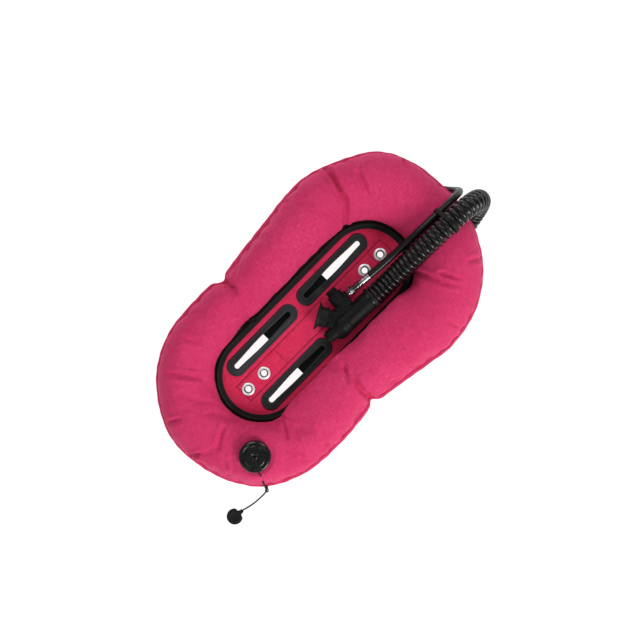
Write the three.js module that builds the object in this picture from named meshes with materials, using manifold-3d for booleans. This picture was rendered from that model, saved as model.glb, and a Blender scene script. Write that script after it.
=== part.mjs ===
// Donut-style buoyancy wing for a single diving cylinder, lying on its back with its power inflator on it.
// Millimetres. +Z up, +X across, +Y towards the top of the wing, where the hoses come over.
// The origin is on the resting surface, below the centre of the fabric outline.

import * as THREE from 'three';
import { mergeVertices } from 'three/addons/utils/BufferGeometryUtils.js';
import Module from 'manifold-3d';

const wasm = await Module();
wasm.setup();

// ---- Driving dimensions -------------------------------------------------------------------------

const wingLength = 628;
const wingWidth = 379;
const tubeHeight = 108;          // thickness of the inflated tube
const waistSlack = 10;           // how much lower the tube is where the outline pinches in
const fullTube = 100;            // a tube as wide as this across stands at full height
const slackRange = 20;
const bindingWidth = 5;          // edge binding over the outer seam, height
const bindingProud = 2;          // and how far it stands out of the shells

const panelX = -5;               // middle of the centre panel
const panelY = -2;
const seamRadius = 83;           // inner seam of the tube: rounded ends of this radius
const seamStraight = 254;        // and straight sides of this length

const shellWall = 1;             // coated outer fabric
const bladderWall = 0.8;         // air bladder film with its backing
const layerGap = 0.5;            // between neighbouring fabric layers
const gap = 0.3;                 // between pieces that touch

const panelFabric = 1.2;
const stiffenerSheet = 2;

const boltSpacing = 279.4;       // backplate bolt spacing, 11 in
const boltStep = 37.5;           // from one grommet to the next in a pair
const grommetHole = 10.7;
const grommetFlange = 22;
const grommetWall = 1;

const slotOffsetX = 40.5;        // slot centres from the middle of the panel
const slotOffsetY = 83.5;
const slotLength = 133;          // clear opening
const slotWidth = 13;
const slotFrameLength = 157;     // moulded frame round it
const slotFrameWidth = 33;
const slotFlange = 2.4;

const padLength = 141;           // rubber pad on the cylinder side
const padWidth = 116;
const padThickness = 4;
const padOffsetY = -5;

const zipTapeWidth = 17;
const zipTapeThickness = 0.8;
const zipCoilWidth = 5;
const zipCoilHeight = 2.2;

const valveBearing = -49.063;    // dump valve: degrees round the lower end of the panel, from +X
const valveAcross = 0.45623;     // and how far out it sits, from the tube's inner seam to its edge
const valveNeckDepth = 19;
const valveNutHeight = 3.5;
const valveNutWall = 7;
const valveCapDiameter = 52;
const valveCapRoof = 2;
const valveFlangeDiameter = 58;
const valveNeckDiameter = 36;
const valveWall = 1.8;
const discLift = 3;
const valveSpringWire = 1;
const valveSpringTurns = 3;

const elbowX = 74.5;             // elbow, on the back of the tube
const elbowY = 250;
const elbowTurn = 12.6;          // degrees that its spigot leans from +Y towards -X
const elbowReach = 20;
const pocketSpare = 1;           // room round the hose's tie in the pocket in the tube's back
const pocketRise = 1.6;          // and over it
const pocketLift = 2.4;          // the pocket's roof rises this much before it leaves the tube
const pocketPast = 5.25;         // and it runs on this far past the wing's end
const pocketBelow = 20;
const elbowFlangeDiameter = 54;
const elbowNeckDiameter = 28;

const corrugatedDiameter = 36;
const lpDiameter = 12.7;
const tieWall = 1.3;             // clamps round the corrugated hose
const tieWidth = 6;
const cordDiameter = 2.8;
const keeperWall = 1.6;          // rubber loop round both hoses
const keeperWidth = 7.7;
const keeperRest = 2.1;          // its height over the tube

const barrelDiameter = 35;       // power inflator
const buttonHousingDiameter = 23;
const inflateButtonDiameter = 19;
const inflateTravel = 3;
const oralButtonDiameter = 18;
const oralTravel = 4;
const mouthpieceWidth = 48;
const mouthpieceHeight = 26;
const mouthpieceBore = 15;
const sleeveTravel = 4;

// ---- Derived places -----------------------------------------------------------------------------

const midZ = tubeHeight / 2;
const panelStack = 2 * panelFabric + stiffenerSheet + 2 * gap;
const panelTop = midZ + panelStack / 2;
const panelBottom = midZ - panelStack / 2;
const frameTop = panelTop + gap + slotFlange;
const frameBottom = panelBottom - gap - slotFlange;
const tieRadius = corrugatedDiameter / 2 + 2 * gap + tieWall;
const elbowZ = tieRadius + 2 * gap;
const elbowRoof = elbowZ + corrugatedDiameter / 2 + 5;
const deg = Math.PI / 180;

// ---- Materials ----------------------------------------------------------------------------------

function finish(color, roughness, metalness = 0) {
  return () => new THREE.MeshStandardMaterial({ color, roughness, metalness });
}

const pinkFabric = finish(0xd6396a, 0.85);
const panelPink = finish(0xd2305b, 0.85);
const bladderFilm = finish(0xc9c4bd, 0.55);
const blackTape = finish(0x141416, 0.8);
const blackRubber = finish(0x2a2c2e, 0.7);
const blackPlastic = finish(0x151617, 0.45);
const glossPlastic = finish(0x0b0c0d, 0.2);
const whitePlastic = finish(0xe4e4e0, 0.5);
const silicone = finish(0xb8b8b4, 0.5);
const steel = finish(0xd8d9da, 0.25, 1);

// ---- Helpers ------------------------------------------------------------------------------------

const wing = new THREE.Group();

function piece(name, geometry, material, parent = wing) {
  const mesh = new THREE.Mesh(geometry, material());
  mesh.name = name;
  parent.add(mesh);
  return mesh;
}

function toSolid(geometry) {
  const bare = geometry.clone();
  bare.deleteAttribute('normal');
  bare.deleteAttribute('uv');
  const merged = mergeVertices(bare, 1e-4);
  const index = merged.index.array;
  return new wasm.Manifold(new wasm.Mesh({
    numProp: 3,
    vertProperties: new Float32Array(merged.attributes.position.array),
    triVerts: new Uint32Array(index),
  }));
}

function toGeometry(solid) {
  const mesh = solid.getMesh();
  const geometry = new THREE.BufferGeometry();
  geometry.setAttribute('position', new THREE.BufferAttribute(new Float32Array(mesh.vertProperties), 3));
  geometry.setIndex(new THREE.BufferAttribute(new Uint32Array(mesh.triVerts), 1));
  return geometry;
}

function joined(...geometries) {
  return toGeometry(geometries.map(toSolid).reduce((a, b) => a.add(b)));
}

function cut(geometry, ...tools) {
  return toGeometry(tools.map(toSolid).reduce((a, b) => a.subtract(b), toSolid(geometry)));
}

// Skin through a list of rings with equal point counts; a closed loop has no caps.
function loft(rings, closed) {
  const around = rings[0].length;
  const positions = rings.flat().flatMap((p) => [p.x, p.y, p.z]);
  const index = [];
  const last = closed ? rings.length : rings.length - 1;
  for (let i = 0; i < last; i++) {
    const next = (i + 1) % rings.length;
    for (let j = 0; j < around; j++) {
      const k = (j + 1) % around;
      const [a, b, c, d] = [i * around + j, next * around + j, next * around + k, i * around + k];
      index.push(a, b, c, a, c, d);
    }
  }
  if (!closed) {
    for (let j = 1; j < around - 1; j++) {
      const end = (rings.length - 1) * around;
      index.push(0, j, j + 1, end, end + j + 1, end + j);
    }
  }
  const geometry = new THREE.BufferGeometry();
  geometry.setAttribute('position', new THREE.Float32BufferAttribute(positions, 3));
  geometry.setIndex(index);
  return geometry;
}

// Turned part: profile points are [radius, z], going round the section anticlockwise.
function turned(profile, segments = 20) {
  const geometry = new THREE.LatheGeometry(profile.map(([r, z]) => new THREE.Vector2(r, z)), segments);
  return geometry.rotateX(Math.PI / 2);
}

// Turned ring between two radii and two heights.
function ring(inner, outer, low, high, segments = 20) {
  return turned([[inner, low], [outer, low], [outer, high], [inner, high], [inner, low]], segments);
}

function disc(radius, low, high, segments = 20) {
  return turned([[0, low], [radius, low], [radius, high], [0, high]], segments);
}

function stadium(target, cx, cy, radius, straight) {
  target.absarc(cx, cy + straight / 2, radius, 0, Math.PI, false);
  target.absarc(cx, cy - straight / 2, radius, Math.PI, 2 * Math.PI, false);
  target.closePath();
  return target;
}

function plate(shape, low, thickness, curveSegments = 5) {
  const settings = { depth: thickness, bevelEnabled: false, curveSegments };
  return new THREE.ExtrudeGeometry(shape, settings).translate(0, 0, low);
}

function roundSection(radius, sides) {
  const shape = new THREE.Shape();
  for (let i = 0; i < sides; i++) {
    const angle = (i + 0.5) * 2 * Math.PI / sides;
    const x = radius * Math.cos(angle);
    const y = radius * Math.sin(angle);
    if (i === 0) shape.moveTo(x, y);
    else shape.lineTo(x, y);
  }
  shape.closePath();
  return shape;
}

function tubeAlong(points, diameter, sides, steps) {
  const path = new THREE.CatmullRomCurve3(points.map((p) => new THREE.Vector3(...p)), false, 'centripetal');
  return new THREE.ExtrudeGeometry(roundSection(diameter / 2, sides), { extrudePath: path, steps });
}

// Turns a shape made along +Z to point from one place to another.
function aimed(geometry, from, to) {
  const heading = new THREE.Vector3(...to).sub(new THREE.Vector3(...from)).normalize();
  const turn = new THREE.Quaternion().setFromUnitVectors(new THREE.Vector3(0, 0, 1), heading);
  return geometry.applyQuaternion(turn);
}

// Helical spring along +Z from z = 0, its wire ends cut square.
function spring(coilRadius, wire, height, turns) {
  const points = [];
  const perTurn = 10;
  for (let i = 0; i <= turns * perTurn; i++) {
    const angle = i * 2 * Math.PI / perTurn;
    const rise = wire + (height - 2 * wire) * i / (turns * perTurn);
    points.push([coilRadius * Math.cos(angle), coilRadius * Math.sin(angle), rise]);
  }
  return tubeAlong(points, wire, 6, turns * perTurn);
}

// ---- Fabric outline and tube sections -----------------------------------------------------------

// Outline of the inflated wing, in halves of its width and length. The close pairs are the two
// pinches at the waist, where the gathered fabric turns in.
const outlineShape = [
  [1.000, 0.417], [0.964, 0.262], [0.912, 0.086], [0.868, -0.055], [0.820, -0.092], [0.858, -0.128],
  [0.886, -0.242], [0.896, -0.394], [0.866, -0.600], [0.716, -0.800], [0.461, -0.924],
  [0.128, -0.988], [-0.216, -0.988], [-0.524, -0.898], [-0.758, -0.760], [-0.890, -0.584],
  [-0.921, -0.390], [-0.913, -0.248], [-0.876, -0.215], [-0.862, -0.188], [-0.894, -0.152],
  [-0.921, -0.060], [-0.968, 0.194], [-1.000, 0.385], [-0.990, 0.518], [-0.874, 0.706],
  [-0.691, 0.882], [-0.382, 0.976], [-0.045, 0.998], [0.150, 0.994], [0.330, 0.970],
  [0.470, 0.938], [0.744, 0.816], [0.937, 0.632],
];
const stationCount = 48;

function fabricStations() {
  const loop = new THREE.CatmullRomCurve3(
    outlineShape.map(([x, y]) => new THREE.Vector3(x, y, 0)), true, 'centripetal');
  const points = loop.getPoints(stationCount).slice(0, -1);
  const box = new THREE.Box3().setFromPoints(points);
  const middle = box.getCenter(new THREE.Vector3());
  const extent = box.getSize(new THREE.Vector3());
  const halfWidth = wingWidth / 2 - bindingProud;
  const halfLength = wingLength / 2 - bindingProud;
  return points.map((p) => {
    const outer = new THREE.Vector2(
      (p.x - middle.x) / (extent.x / 2) * halfWidth,
      (p.y - middle.y) / (extent.y / 2) * halfLength);
    const spineY = THREE.MathUtils.clamp(outer.y - panelY, -seamStraight / 2, seamStraight / 2);
    const spine = new THREE.Vector2(panelX, panelY + spineY);
    const direction = outer.clone().sub(spine).normalize();
    return { outer, spine, direction, reach: outer.distanceTo(spine) };
  });
}

const stations = fabricStations();
const sectionSides = 12;
const sectionFlat = 1 / Math.cos(Math.PI / sectionSides);   // corners of a section, against its flats

// The tube where the dump valve goes: the two stations next to its bearing give its place, and the
// highest of the stations under its flange gives its seat.
function valvePlace() {
  const end = new THREE.Vector2(panelX, panelY - seamStraight / 2);
  const heading = new THREE.Vector2(Math.cos(valveBearing * deg), Math.sin(valveBearing * deg));
  const lean = (station) => Math.abs(heading.angleTo(station.outer.clone().sub(end)));
  const beside = [...stations].sort((a, b) => lean(a) - lean(b)).slice(0, 7);
  const [first, second] = beside;
  const share = lean(first) / (lean(first) + lean(second));
  const reach = THREE.MathUtils.lerp(first.reach, second.reach, share);
  const away = seamRadius + (reach - seamRadius) * valveAcross;
  const halfAcross = (reach - seamRadius) / 2;
  const top = tubeHeight - Math.min(...beside.map((station) => slackAt((station.reach - seamRadius) / 2)));
  return { x: end.x + heading.x * away, y: end.y + heading.y * away, halfAcross, top };
}

const valveAt = valvePlace();

// How much lower the front of the tube lies where the tube is narrow.
function slackAt(halfAcross) {
  return THREE.MathUtils.clamp((fullTube - 2 * halfAcross) / slackRange, 0, 1) * waistSlack;
}

// Closed section of the tube at one station, moved inwards by inset.
function tubeSection(station, inset) {
  const halfAcross = (station.reach - seamRadius) / 2 - inset;
  const centre = (station.reach + seamRadius) / 2;
  const section = [];
  for (let j = 0; j < sectionSides; j++) {
    const angle = (j + 0.5) * 2 * Math.PI / sectionSides;
    const across = centre + halfAcross * sectionFlat * Math.cos(angle);
    const lift = Math.sin(angle) > 0 ? midZ - slackAt(halfAcross) - inset : midZ - inset;
    section.push(new THREE.Vector3(
      station.spine.x + station.direction.x * across,
      station.spine.y + station.direction.y * across,
      midZ + lift * sectionFlat * Math.sin(angle)));
  }
  return section;
}

function tubeSolid(inset) {
  return toSolid(loft(stations.map((s) => tubeSection(s, inset)).reverse(), true));
}

// ---- Hose routes (chosen points, ends at the fittings) ------------------------------------------

const corrugatedRoute = [
  [35.5, 89.1, 79.8], [36.1, 101, 80], [36.6, 120, 82.4], [37.0, 140, 87.5], [37.2, 162, 96.5],
  [37.4, 186, 109.5], [37.9, 211, 121.5], [38.7, 235, 128.3], [39.5, 258, 130.6], [40.4, 279, 130.2],
  [41.8, 298, 126.7], [44.0, 314.4, 117.2], [46.8, 326.7, 102.6], [50.0, 333.2, 84.8],
  [53.4, 333.2, 65.7], [57.0, 326.7, 47.9], [60.4, 314.4, 33.3], [63.2, 302.4, 25.6],
  [65.8, 288.8, 21.4], [67.96, 279.25, 20.5], [70.07, 269.81, 20.5],
];
const lpRoute = [
  [6.84, 117, 87.3], [7.96, 127.8, 89], [9.8, 150, 93.4], [11.5, 175, 100], [12.9, 200, 109.5],
  [14.1, 225, 116.2], [15.1, 250, 118], [16, 272, 117.6], [16.6, 293, 110.5], [16.8, 311, 95.5],
  [16.4, 321.5, 77], [14, 325, 58], [8.5, 322.5, 42], [-1, 316.5, 28], [-15, 309.5, 16.5],
  [-33, 304, 9.5], [-54, 299.5, 7.2], [-76, 292.5, 7], [-97, 283, 7], [-117, 270, 7],
  [-134, 254, 7], [-148, 235, 7], [-159, 214, 7], [-167, 192, 7], [-172, 169, 7],
];
const cordRoute = [
  [80, -227, 124.9], [90, -232.7, 124.9], [98.6, -237.6, 124.9], [103.8, -240.6, 123.2],
  [106.4, -242, 118.5], [107.4, -242.6, 113], [109.4, -243.7, 106.6], [114, -246.3, 101.2],
  [120, -249.7, 95.6], [126, -253.2, 87.2], [131.4, -256.9, 76], [134.8, -259.3, 66],
  [136.6, -260.6, 56], [138, -263, 41], [139.2, -266.5, 26], [140.4, -273, 12.5],
  [140.8, -283, 4.6], [140.2, -296, 2], [137.8, -309, 1.8], [134.4, -321.5, 1.8],
];

// Space kept clear in the back of the tube for the elbow and the hose that runs out from it.
function hosePocket(margin) {
  const halfWide = tieRadius + pocketSpare + margin;
  const lift = elbowZ - corrugatedRoute.at(-1)[2];
  const rim = corrugatedRoute.slice(-4).reverse().map(([x, y, z]) => [x, y, z + lift]);
  const [rimX, rimY, rimZ] = rim.at(-1);
  const path = [
    [elbowX, elbowY, elbowZ], ...rim, [rimX - 3, rimY + 5, rimZ + pocketLift],
    [rimX - 9, wingLength / 2 + pocketPast, rimZ + pocketLift],
  ];
  const rings = path.map(([x, y, z], i) => {
    const [x0, y0] = path[Math.max(i - 1, 0)];
    const [x1, y1] = path[Math.min(i + 1, path.length - 1)];
    const along = new THREE.Vector2(x1 - x0, y1 - y0).normalize();
    const section = [];
    for (let j = 0; j <= 8; j++) {
      const angle = j * Math.PI / 8;
      section.push([halfWide * Math.cos(angle), z + pocketRise + halfWide * Math.sin(angle)]);
    }
    section.push([-halfWide, -pocketBelow], [halfWide, -pocketBelow]);
    return section.map(([side, height]) => new THREE.Vector3(
      x + along.y * side, y - along.x * side, height));
  });
  const flangeRoom = elbowFlangeDiameter / 2 + 2 * pocketSpare + margin;
  const round = disc(flangeRoom, -pocketBelow, elbowRoof + margin, 24);
  return toSolid(loft(rings, false)).add(toSolid(round.translate(elbowX, elbowY, 0)));
}

// Holes through the tube's walls for the two fittings.
function fittingHole(x, y, diameter, low, high) {
  return toSolid(disc(diameter / 2 + gap, low, high, 24).translate(x, y, 0));
}

const valveHole = fittingHole(valveAt.x, valveAt.y, valveNeckDiameter, midZ, tubeHeight + 20);
const elbowHole = fittingHole(elbowX, elbowY, elbowNeckDiameter, -10, midZ);

function tubeLayer(inset) {
  return tubeSolid(inset).subtract(hosePocket(inset));
}

function tubeWall(outerInset, thickness) {
  const wall = tubeLayer(outerInset).subtract(tubeLayer(outerInset + thickness));
  return wall.subtract(valveHole).subtract(elbowHole);
}

function halfSpace(low, high) {
  const box = new THREE.BoxGeometry(2 * wingWidth, 2 * wingLength, high - low);
  return toSolid(box.translate(0, 0, (low + high) / 2));
}

// Rectangular band that follows the wing's loop between two distances from the panel's spine.
function loopBand(inner, outer, low, high) {
  const sections = stations.map((station) => {
    const { spine, direction } = station;
    const at = (across, z) => new THREE.Vector3(
      spine.x + direction.x * across, spine.y + direction.y * across, z);
    const [near, far] = [inner(station), outer(station)];
    return [at(near, low), at(far, low), at(far, high), at(near, high)];
  });
  return loft(sections.reverse(), true);
}

function fabricParts() {
  const shell = tubeWall(0, shellWall);
  piece('shell_front', toGeometry(shell.intersect(halfSpace(midZ + gap / 2, 2 * tubeHeight))), pinkFabric);
  piece('shell_back', toGeometry(shell.intersect(halfSpace(-tubeHeight, midZ - gap / 2))), pinkFabric);
  piece('bladder', toGeometry(tubeWall(shellWall + layerGap, bladderWall)), bladderFilm);

  const binding = loopBand(
    (station) => station.reach + gap, (station) => station.reach + bindingProud,
    midZ - bindingWidth / 2, midZ + bindingWidth / 2);
  piece('edge_binding', binding, pinkFabric);
}

// ---- Centre panel -------------------------------------------------------------------------------

const slotCentres = [
  ['upper_left', -1, 1], ['upper_right', 1, 1], ['lower_left', -1, -1], ['lower_right', 1, -1],
].map(([name, side, end]) => [name, panelX + side * slotOffsetX, panelY + end * slotOffsetY]);

const grommetCentres = [
  ['top_outer', (boltSpacing + boltStep) / 2], ['top_inner', (boltSpacing - boltStep) / 2],
  ['bottom_inner', -(boltSpacing - boltStep) / 2], ['bottom_outer', -(boltSpacing + boltStep) / 2],
].map(([name, y]) => [name, panelX, panelY + y]);

const slotNeckWidth = slotWidth + 2 * 2.4;

function panelShape() {
  // The edge keeps in step with the facets of the tube beside it.
  const shape = new THREE.Shape(stations.map(
    ({ spine, direction }) => spine.clone().addScaledVector(direction, seamRadius - 2 * gap)));
  for (const [, x, y] of slotCentres) {
    const radius = slotNeckWidth / 2 + gap;
    shape.holes.push(stadium(new THREE.Path(), x, y, radius, slotLength - slotWidth));
  }
  for (const [, x, y] of grommetCentres) {
    const radius = grommetHole / 2 + grommetWall + 2 * gap;
    shape.holes.push(new THREE.Path().absarc(x, y, radius, 0, 2 * Math.PI, false));
  }
  return shape;
}

function centrePanel() {
  piece('panel_back', plate(panelShape(), panelBottom, panelFabric), panelPink);
  const sheet = plate(panelShape(), panelBottom + panelFabric + gap, stiffenerSheet);
  piece('panel_stiffener', sheet, whitePlastic);
  piece('panel_front', plate(panelShape(), panelTop - panelFabric, panelFabric), panelPink);
}

function slotFrame(name, x, y) {
  const outline = (width, length) => stadium(new THREE.Shape(), x, y, width / 2, length - width);
  const withOpening = (shape) => {
    shape.holes.push(stadium(new THREE.Path(), x, y, slotWidth / 2, slotLength - slotWidth));
    return shape;
  };
  const flange = outline(slotFrameWidth, slotFrameLength);
  const neck = outline(slotNeckWidth, slotLength + slotNeckWidth - slotWidth);
  const geometry = joined(
    plate(withOpening(flange), panelTop + gap, slotFlange),
    plate(withOpening(outline(slotFrameWidth, slotFrameLength)), frameBottom, slotFlange),
    plate(withOpening(neck), frameBottom + slotFlange / 2, frameTop - frameBottom - slotFlange));
  piece(`slot_frame_${name}`, geometry, blackRubber);
}

const washerThickness = 0.9;

function grommet(name, x, y) {
  const bore = grommetHole / 2;
  const barrel = bore + grommetWall;
  const flange = grommetFlange / 2;
  const low = panelBottom - gap - washerThickness - gap - 1;
  const top = panelTop + gap;
  const profile = [
    [bore, low], [barrel + 1.6, low], [barrel + 1.6, low + 1], [barrel, low + 1], [barrel, top],
    [flange, top], [flange - 1, top + 1], [barrel + 1, top + 1.6], [bore, top + 0.8], [bore, low],
  ];
  piece(`grommet_${name}`, turned(profile, 16).translate(x, y, 0), steel);
  const washer = ring(barrel + gap, flange, panelBottom - gap - washerThickness, panelBottom - gap, 16);
  piece(`grommet_washer_${name}`, washer.translate(x, y, 0), steel);
}

// Rubber pad: a wide plate behind the slot frames, with a stem up to the panel between them.
function tankPad() {
  const low = frameBottom - gap - padThickness;
  const shape = new THREE.Shape();
  const stem = slotOffsetX - slotFrameWidth / 2 - 4;
  const outline = [
    [-padWidth / 2, low], [padWidth / 2, low], [padWidth / 2, low + padThickness],
    [stem, low + padThickness], [stem, panelBottom - gap], [-stem, panelBottom - gap],
    [-stem, low + padThickness], [-padWidth / 2, low + padThickness],
  ];
  shape.setFromPoints(outline.map(([x, z]) => new THREE.Vector2(x, z)));
  const geometry = new THREE.ExtrudeGeometry(shape, { depth: padLength, bevelEnabled: false });
  geometry.rotateX(Math.PI / 2).translate(panelX, panelY + padOffsetY + padLength / 2, 0);
  piece('tank_pad', geometry, blackRubber);
}

// ---- Access zip ---------------------------------------------------------------------------------

const zipOuter = seamRadius - 2 * gap;
const zipInner = zipOuter - zipTapeWidth;
const zipCoilRadius = (zipOuter + zipInner) / 2;
const zipTapeTop = panelTop + gap + zipTapeThickness;
const sliderY = -73;

function zip() {
  const tape = loopBand(() => zipInner, () => zipOuter, panelTop + gap, zipTapeTop);
  piece('zip_tape', tape, blackTape);
  const half = zipCoilWidth / 2;
  const coilLow = zipTapeTop + gap;
  const coil = loopBand(
    () => zipCoilRadius - half, () => zipCoilRadius + half, coilLow, coilLow + zipCoilHeight);
  piece('zip_coil', coil, blackTape);

  // The slider straddles the coil: two cheeks joined by a bridge that carries the pull's loop.
  const x = panelX - zipCoilRadius;
  const low = zipTapeTop + gap;
  const bridge = low + zipCoilHeight + gap;
  const cheek = (side) => new THREE.BoxGeometry(1.6, 13, bridge + 1 - low)
    .translate(x + side * (half + gap + 0.8), sliderY, (bridge + 1 + low) / 2);
  const roof = new THREE.BoxGeometry(zipCoilWidth + 2 * gap + 3.2, 12, 1.6)
    .translate(x, sliderY, bridge + 0.8);
  const lug = (side) => new THREE.BoxGeometry(1.2, 4, 3.4)
    .translate(x + side * 2.6, sliderY - 2, bridge + 3.2);
  const slider = cut(joined(cheek(-1), cheek(1), roof, lug(-1), lug(1)),
    disc(0.9, -5, 5, 10).rotateY(Math.PI / 2).translate(x, sliderY - 2, bridge + 3.4));
  piece('zip_slider', slider, blackPlastic);

  // The pull's crossbar turns in the two lugs; the tab hangs off it.
  const bar = disc(0.6, -3.1, 3.1, 10).rotateY(Math.PI / 2);
  const tab = new THREE.BoxGeometry(3.2, 22, 1.1).translate(0, -11, 0);
  piece('zip_pull', joined(bar, tab).translate(x, sliderY - 2, bridge + 3.4), blackPlastic);
}

// ---- Dump valve ---------------------------------------------------------------------------------

const valveSeat = valveAt.top + gap;          // underside of the base's flange
const valveFlangeThickness = 2.5;
const discThickness = 2;
const sealThickness = 1;
const capLow = valveSeat + valveFlangeThickness + gap;
const discLow = capLow + sealThickness + gap;
const valveSpringLow = discLow + discThickness + gap;
const valveSpringHeight = valveSpringTurns * valveSpringWire + discLift;
const roofLow = valveSpringLow + valveSpringHeight + gap;
const capTop = roofLow + valveCapRoof;

// Height inside the bladder up to which a ring of this radius fits at the valve.
function roomFor(radius) {
  const inset = shellWall + layerGap + bladderWall + gap;
  const halfAcross = valveAt.halfAcross - inset;
  const rise = midZ - slackAt(halfAcross) - inset;
  const step = Math.PI / sectionSides;
  const corner = (turns) => [
    halfAcross * sectionFlat * Math.cos(turns * step), rise * sectionFlat * Math.sin(turns * step)];
  const side = radius + Math.abs(2 * valveAcross - 1) * valveAt.halfAcross;
  const [far, near] = side > corner(3)[0] ? [corner(1), corner(3)] : [corner(3), corner(5)];
  return midZ + THREE.MathUtils.mapLinear(side, far[0], near[0], far[1], near[1]);
}

function dumpValve() {
  const group = new THREE.Group();
  group.position.set(valveAt.x, valveAt.y, 0);
  wing.add(group);

  const neck = valveNeckDiameter / 2;
  const nutRadius = neck + gap + valveNutWall;
  const neckLow = Math.min(valveAt.top - valveNeckDepth, roomFor(nutRadius) - valveNutHeight - 1);
  const flangeTop = valveSeat + valveFlangeThickness;
  const lip = neck - 5;
  piece('valve_base', turned([
    [neck - valveWall, neckLow], [neck, neckLow], [neck, valveSeat], [valveFlangeDiameter / 2, valveSeat],
    [valveFlangeDiameter / 2, flangeTop - 1], [valveFlangeDiameter / 2 - 1, flangeTop], [lip, flangeTop],
    [lip, flangeTop - 2], [neck - valveWall, flangeTop - 2], [neck - valveWall, neckLow],
  ], 24), blackPlastic, group);
  const nut = ring(neck + gap, nutRadius, neckLow + 1, neckLow + 1 + valveNutHeight, 24);
  piece('valve_nut', nut, blackPlastic, group);

  const sealRadius = lip + 2.5;
  piece('valve_seal', ring(lip - 1.5, sealRadius, capLow, capLow + sealThickness, 24), silicone, group);
  const stem = neckLow + 4;
  piece('valve_disc', turned([
    [0, stem], [2, stem], [2, discLow], [sealRadius, discLow], [sealRadius, discLow + discThickness],
    [0, discLow + discThickness],
  ], 24), blackPlastic, group);

  // Cap: a cup over the disc, with a rim of vents and a small eye for the cord.
  const capRadius = valveCapDiameter / 2;
  const cap = turned([
    [1.8, roofLow], [capRadius - 2, roofLow], [capRadius - 2, capLow], [capRadius, capLow],
    [capRadius, capTop - 2.5], [capRadius - 2.5, capTop], [1.8, capTop], [1.8, roofLow],
  ], 24);
  const vents = [];
  for (let i = 0; i < 6; i++) {
    const vent = new THREE.BoxGeometry(6, 8, 4).translate(capRadius, 0, capLow + 5);
    vents.push(vent.rotateZ(i * Math.PI / 3));
  }
  piece('valve_cap', cut(cap, ...vents), glossPlastic, group);

  const coils = spring(7, valveSpringWire, valveSpringHeight, valveSpringTurns);
  piece('valve_spring', coils.translate(0, 0, valveSpringLow), steel, group);

  piece('pull_cord', tubeAlong(cordRoute, cordDiameter, 8, 26), blackTape);
}

// Tie that holds the pull cord to the edge of the wing, and the knob at the cord's end.
function cordEnds() {
  const [edgeX, edgeY, edgeZ] = cordRoute[12];
  const tie = ring(cordDiameter / 2 + 2 * gap, cordDiameter / 2 + 2, -2.5, 2.5, 12);
  piece('cord_tie', aimed(tie, cordRoute[11], cordRoute[13]).translate(edgeX, edgeY, edgeZ), blackTape);

  const knob = new THREE.Shape();
  knob.moveTo(-3, 0);
  knob.lineTo(3, 0);
  knob.lineTo(4.5, -6);
  knob.absarc(0, -17, 14, 42 * deg, 138 * deg, true);
  knob.lineTo(-4.5, -6);
  knob.closePath();
  const [endX, endY] = cordRoute[cordRoute.length - 1];
  const geometry = plate(knob, 0.2, 6, 10).rotateZ(-8 * deg).translate(endX, endY - gap, 0);
  piece('pull_knob', geometry, blackRubber);
}

// ---- Elbow on the back --------------------------------------------------------------------------

function elbow() {
  const flangeTop = elbowRoof - gap;
  const flangeLow = flangeTop - 2.5;
  const neck = elbowNeckDiameter / 2;
  const neckTop = elbowRoof + 14;
  const spigot = corrugatedDiameter / 2 - 1;
  const run = disc(spigot, 0, elbowReach, 20).rotateX(-Math.PI / 2).translate(0, 0, elbowZ);
  const knuckle = new THREE.SphereGeometry(spigot, 20, 12).translate(0, 0, elbowZ);
  const riser = disc(neck, elbowZ, neckTop, 20);
  const flange = disc(elbowFlangeDiameter / 2, flangeLow, flangeTop, 24);
  const airWay = disc(neck - 3, elbowZ, neckTop + 5, 16);
  const airRun = disc(spigot - 3.5, 0, elbowReach + 5, 16).rotateX(-Math.PI / 2).translate(0, 0, elbowZ);
  const body = cut(joined(run, knuckle, riser, flange), airWay, airRun);
  piece('elbow_body', body.rotateZ(elbowTurn * deg).translate(elbowX, elbowY, 0), blackPlastic);
  const nutLow = elbowRoof + shellWall + layerGap + bladderWall + 1;
  const nut = ring(neck + gap, neck + 6, nutLow, nutLow + 4, 20).translate(elbowX, elbowY, 0);
  piece('elbow_nut', nut, blackPlastic);
}

// ---- Hoses --------------------------------------------------------------------------------------

// Band in the shape of a belt round two circles, extruded along +Y by depth.
function belt(circles, inset) {
  const [[x0, z0, r0], [x1, z1, r1]] = circles;
  const tilt = Math.atan2(z1 - z0, x1 - x0);
  const spread = Math.acos((r0 - r1) / Math.hypot(x1 - x0, z1 - z0));
  const path = inset === 0 ? new THREE.Shape() : new THREE.Path();
  path.absarc(x0, z0, r0 - inset, tilt + spread, tilt - spread + 2 * Math.PI, false);
  path.absarc(x1, z1, r1 - inset, tilt - spread, tilt + spread, false);
  path.closePath();
  return path;
}

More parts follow.
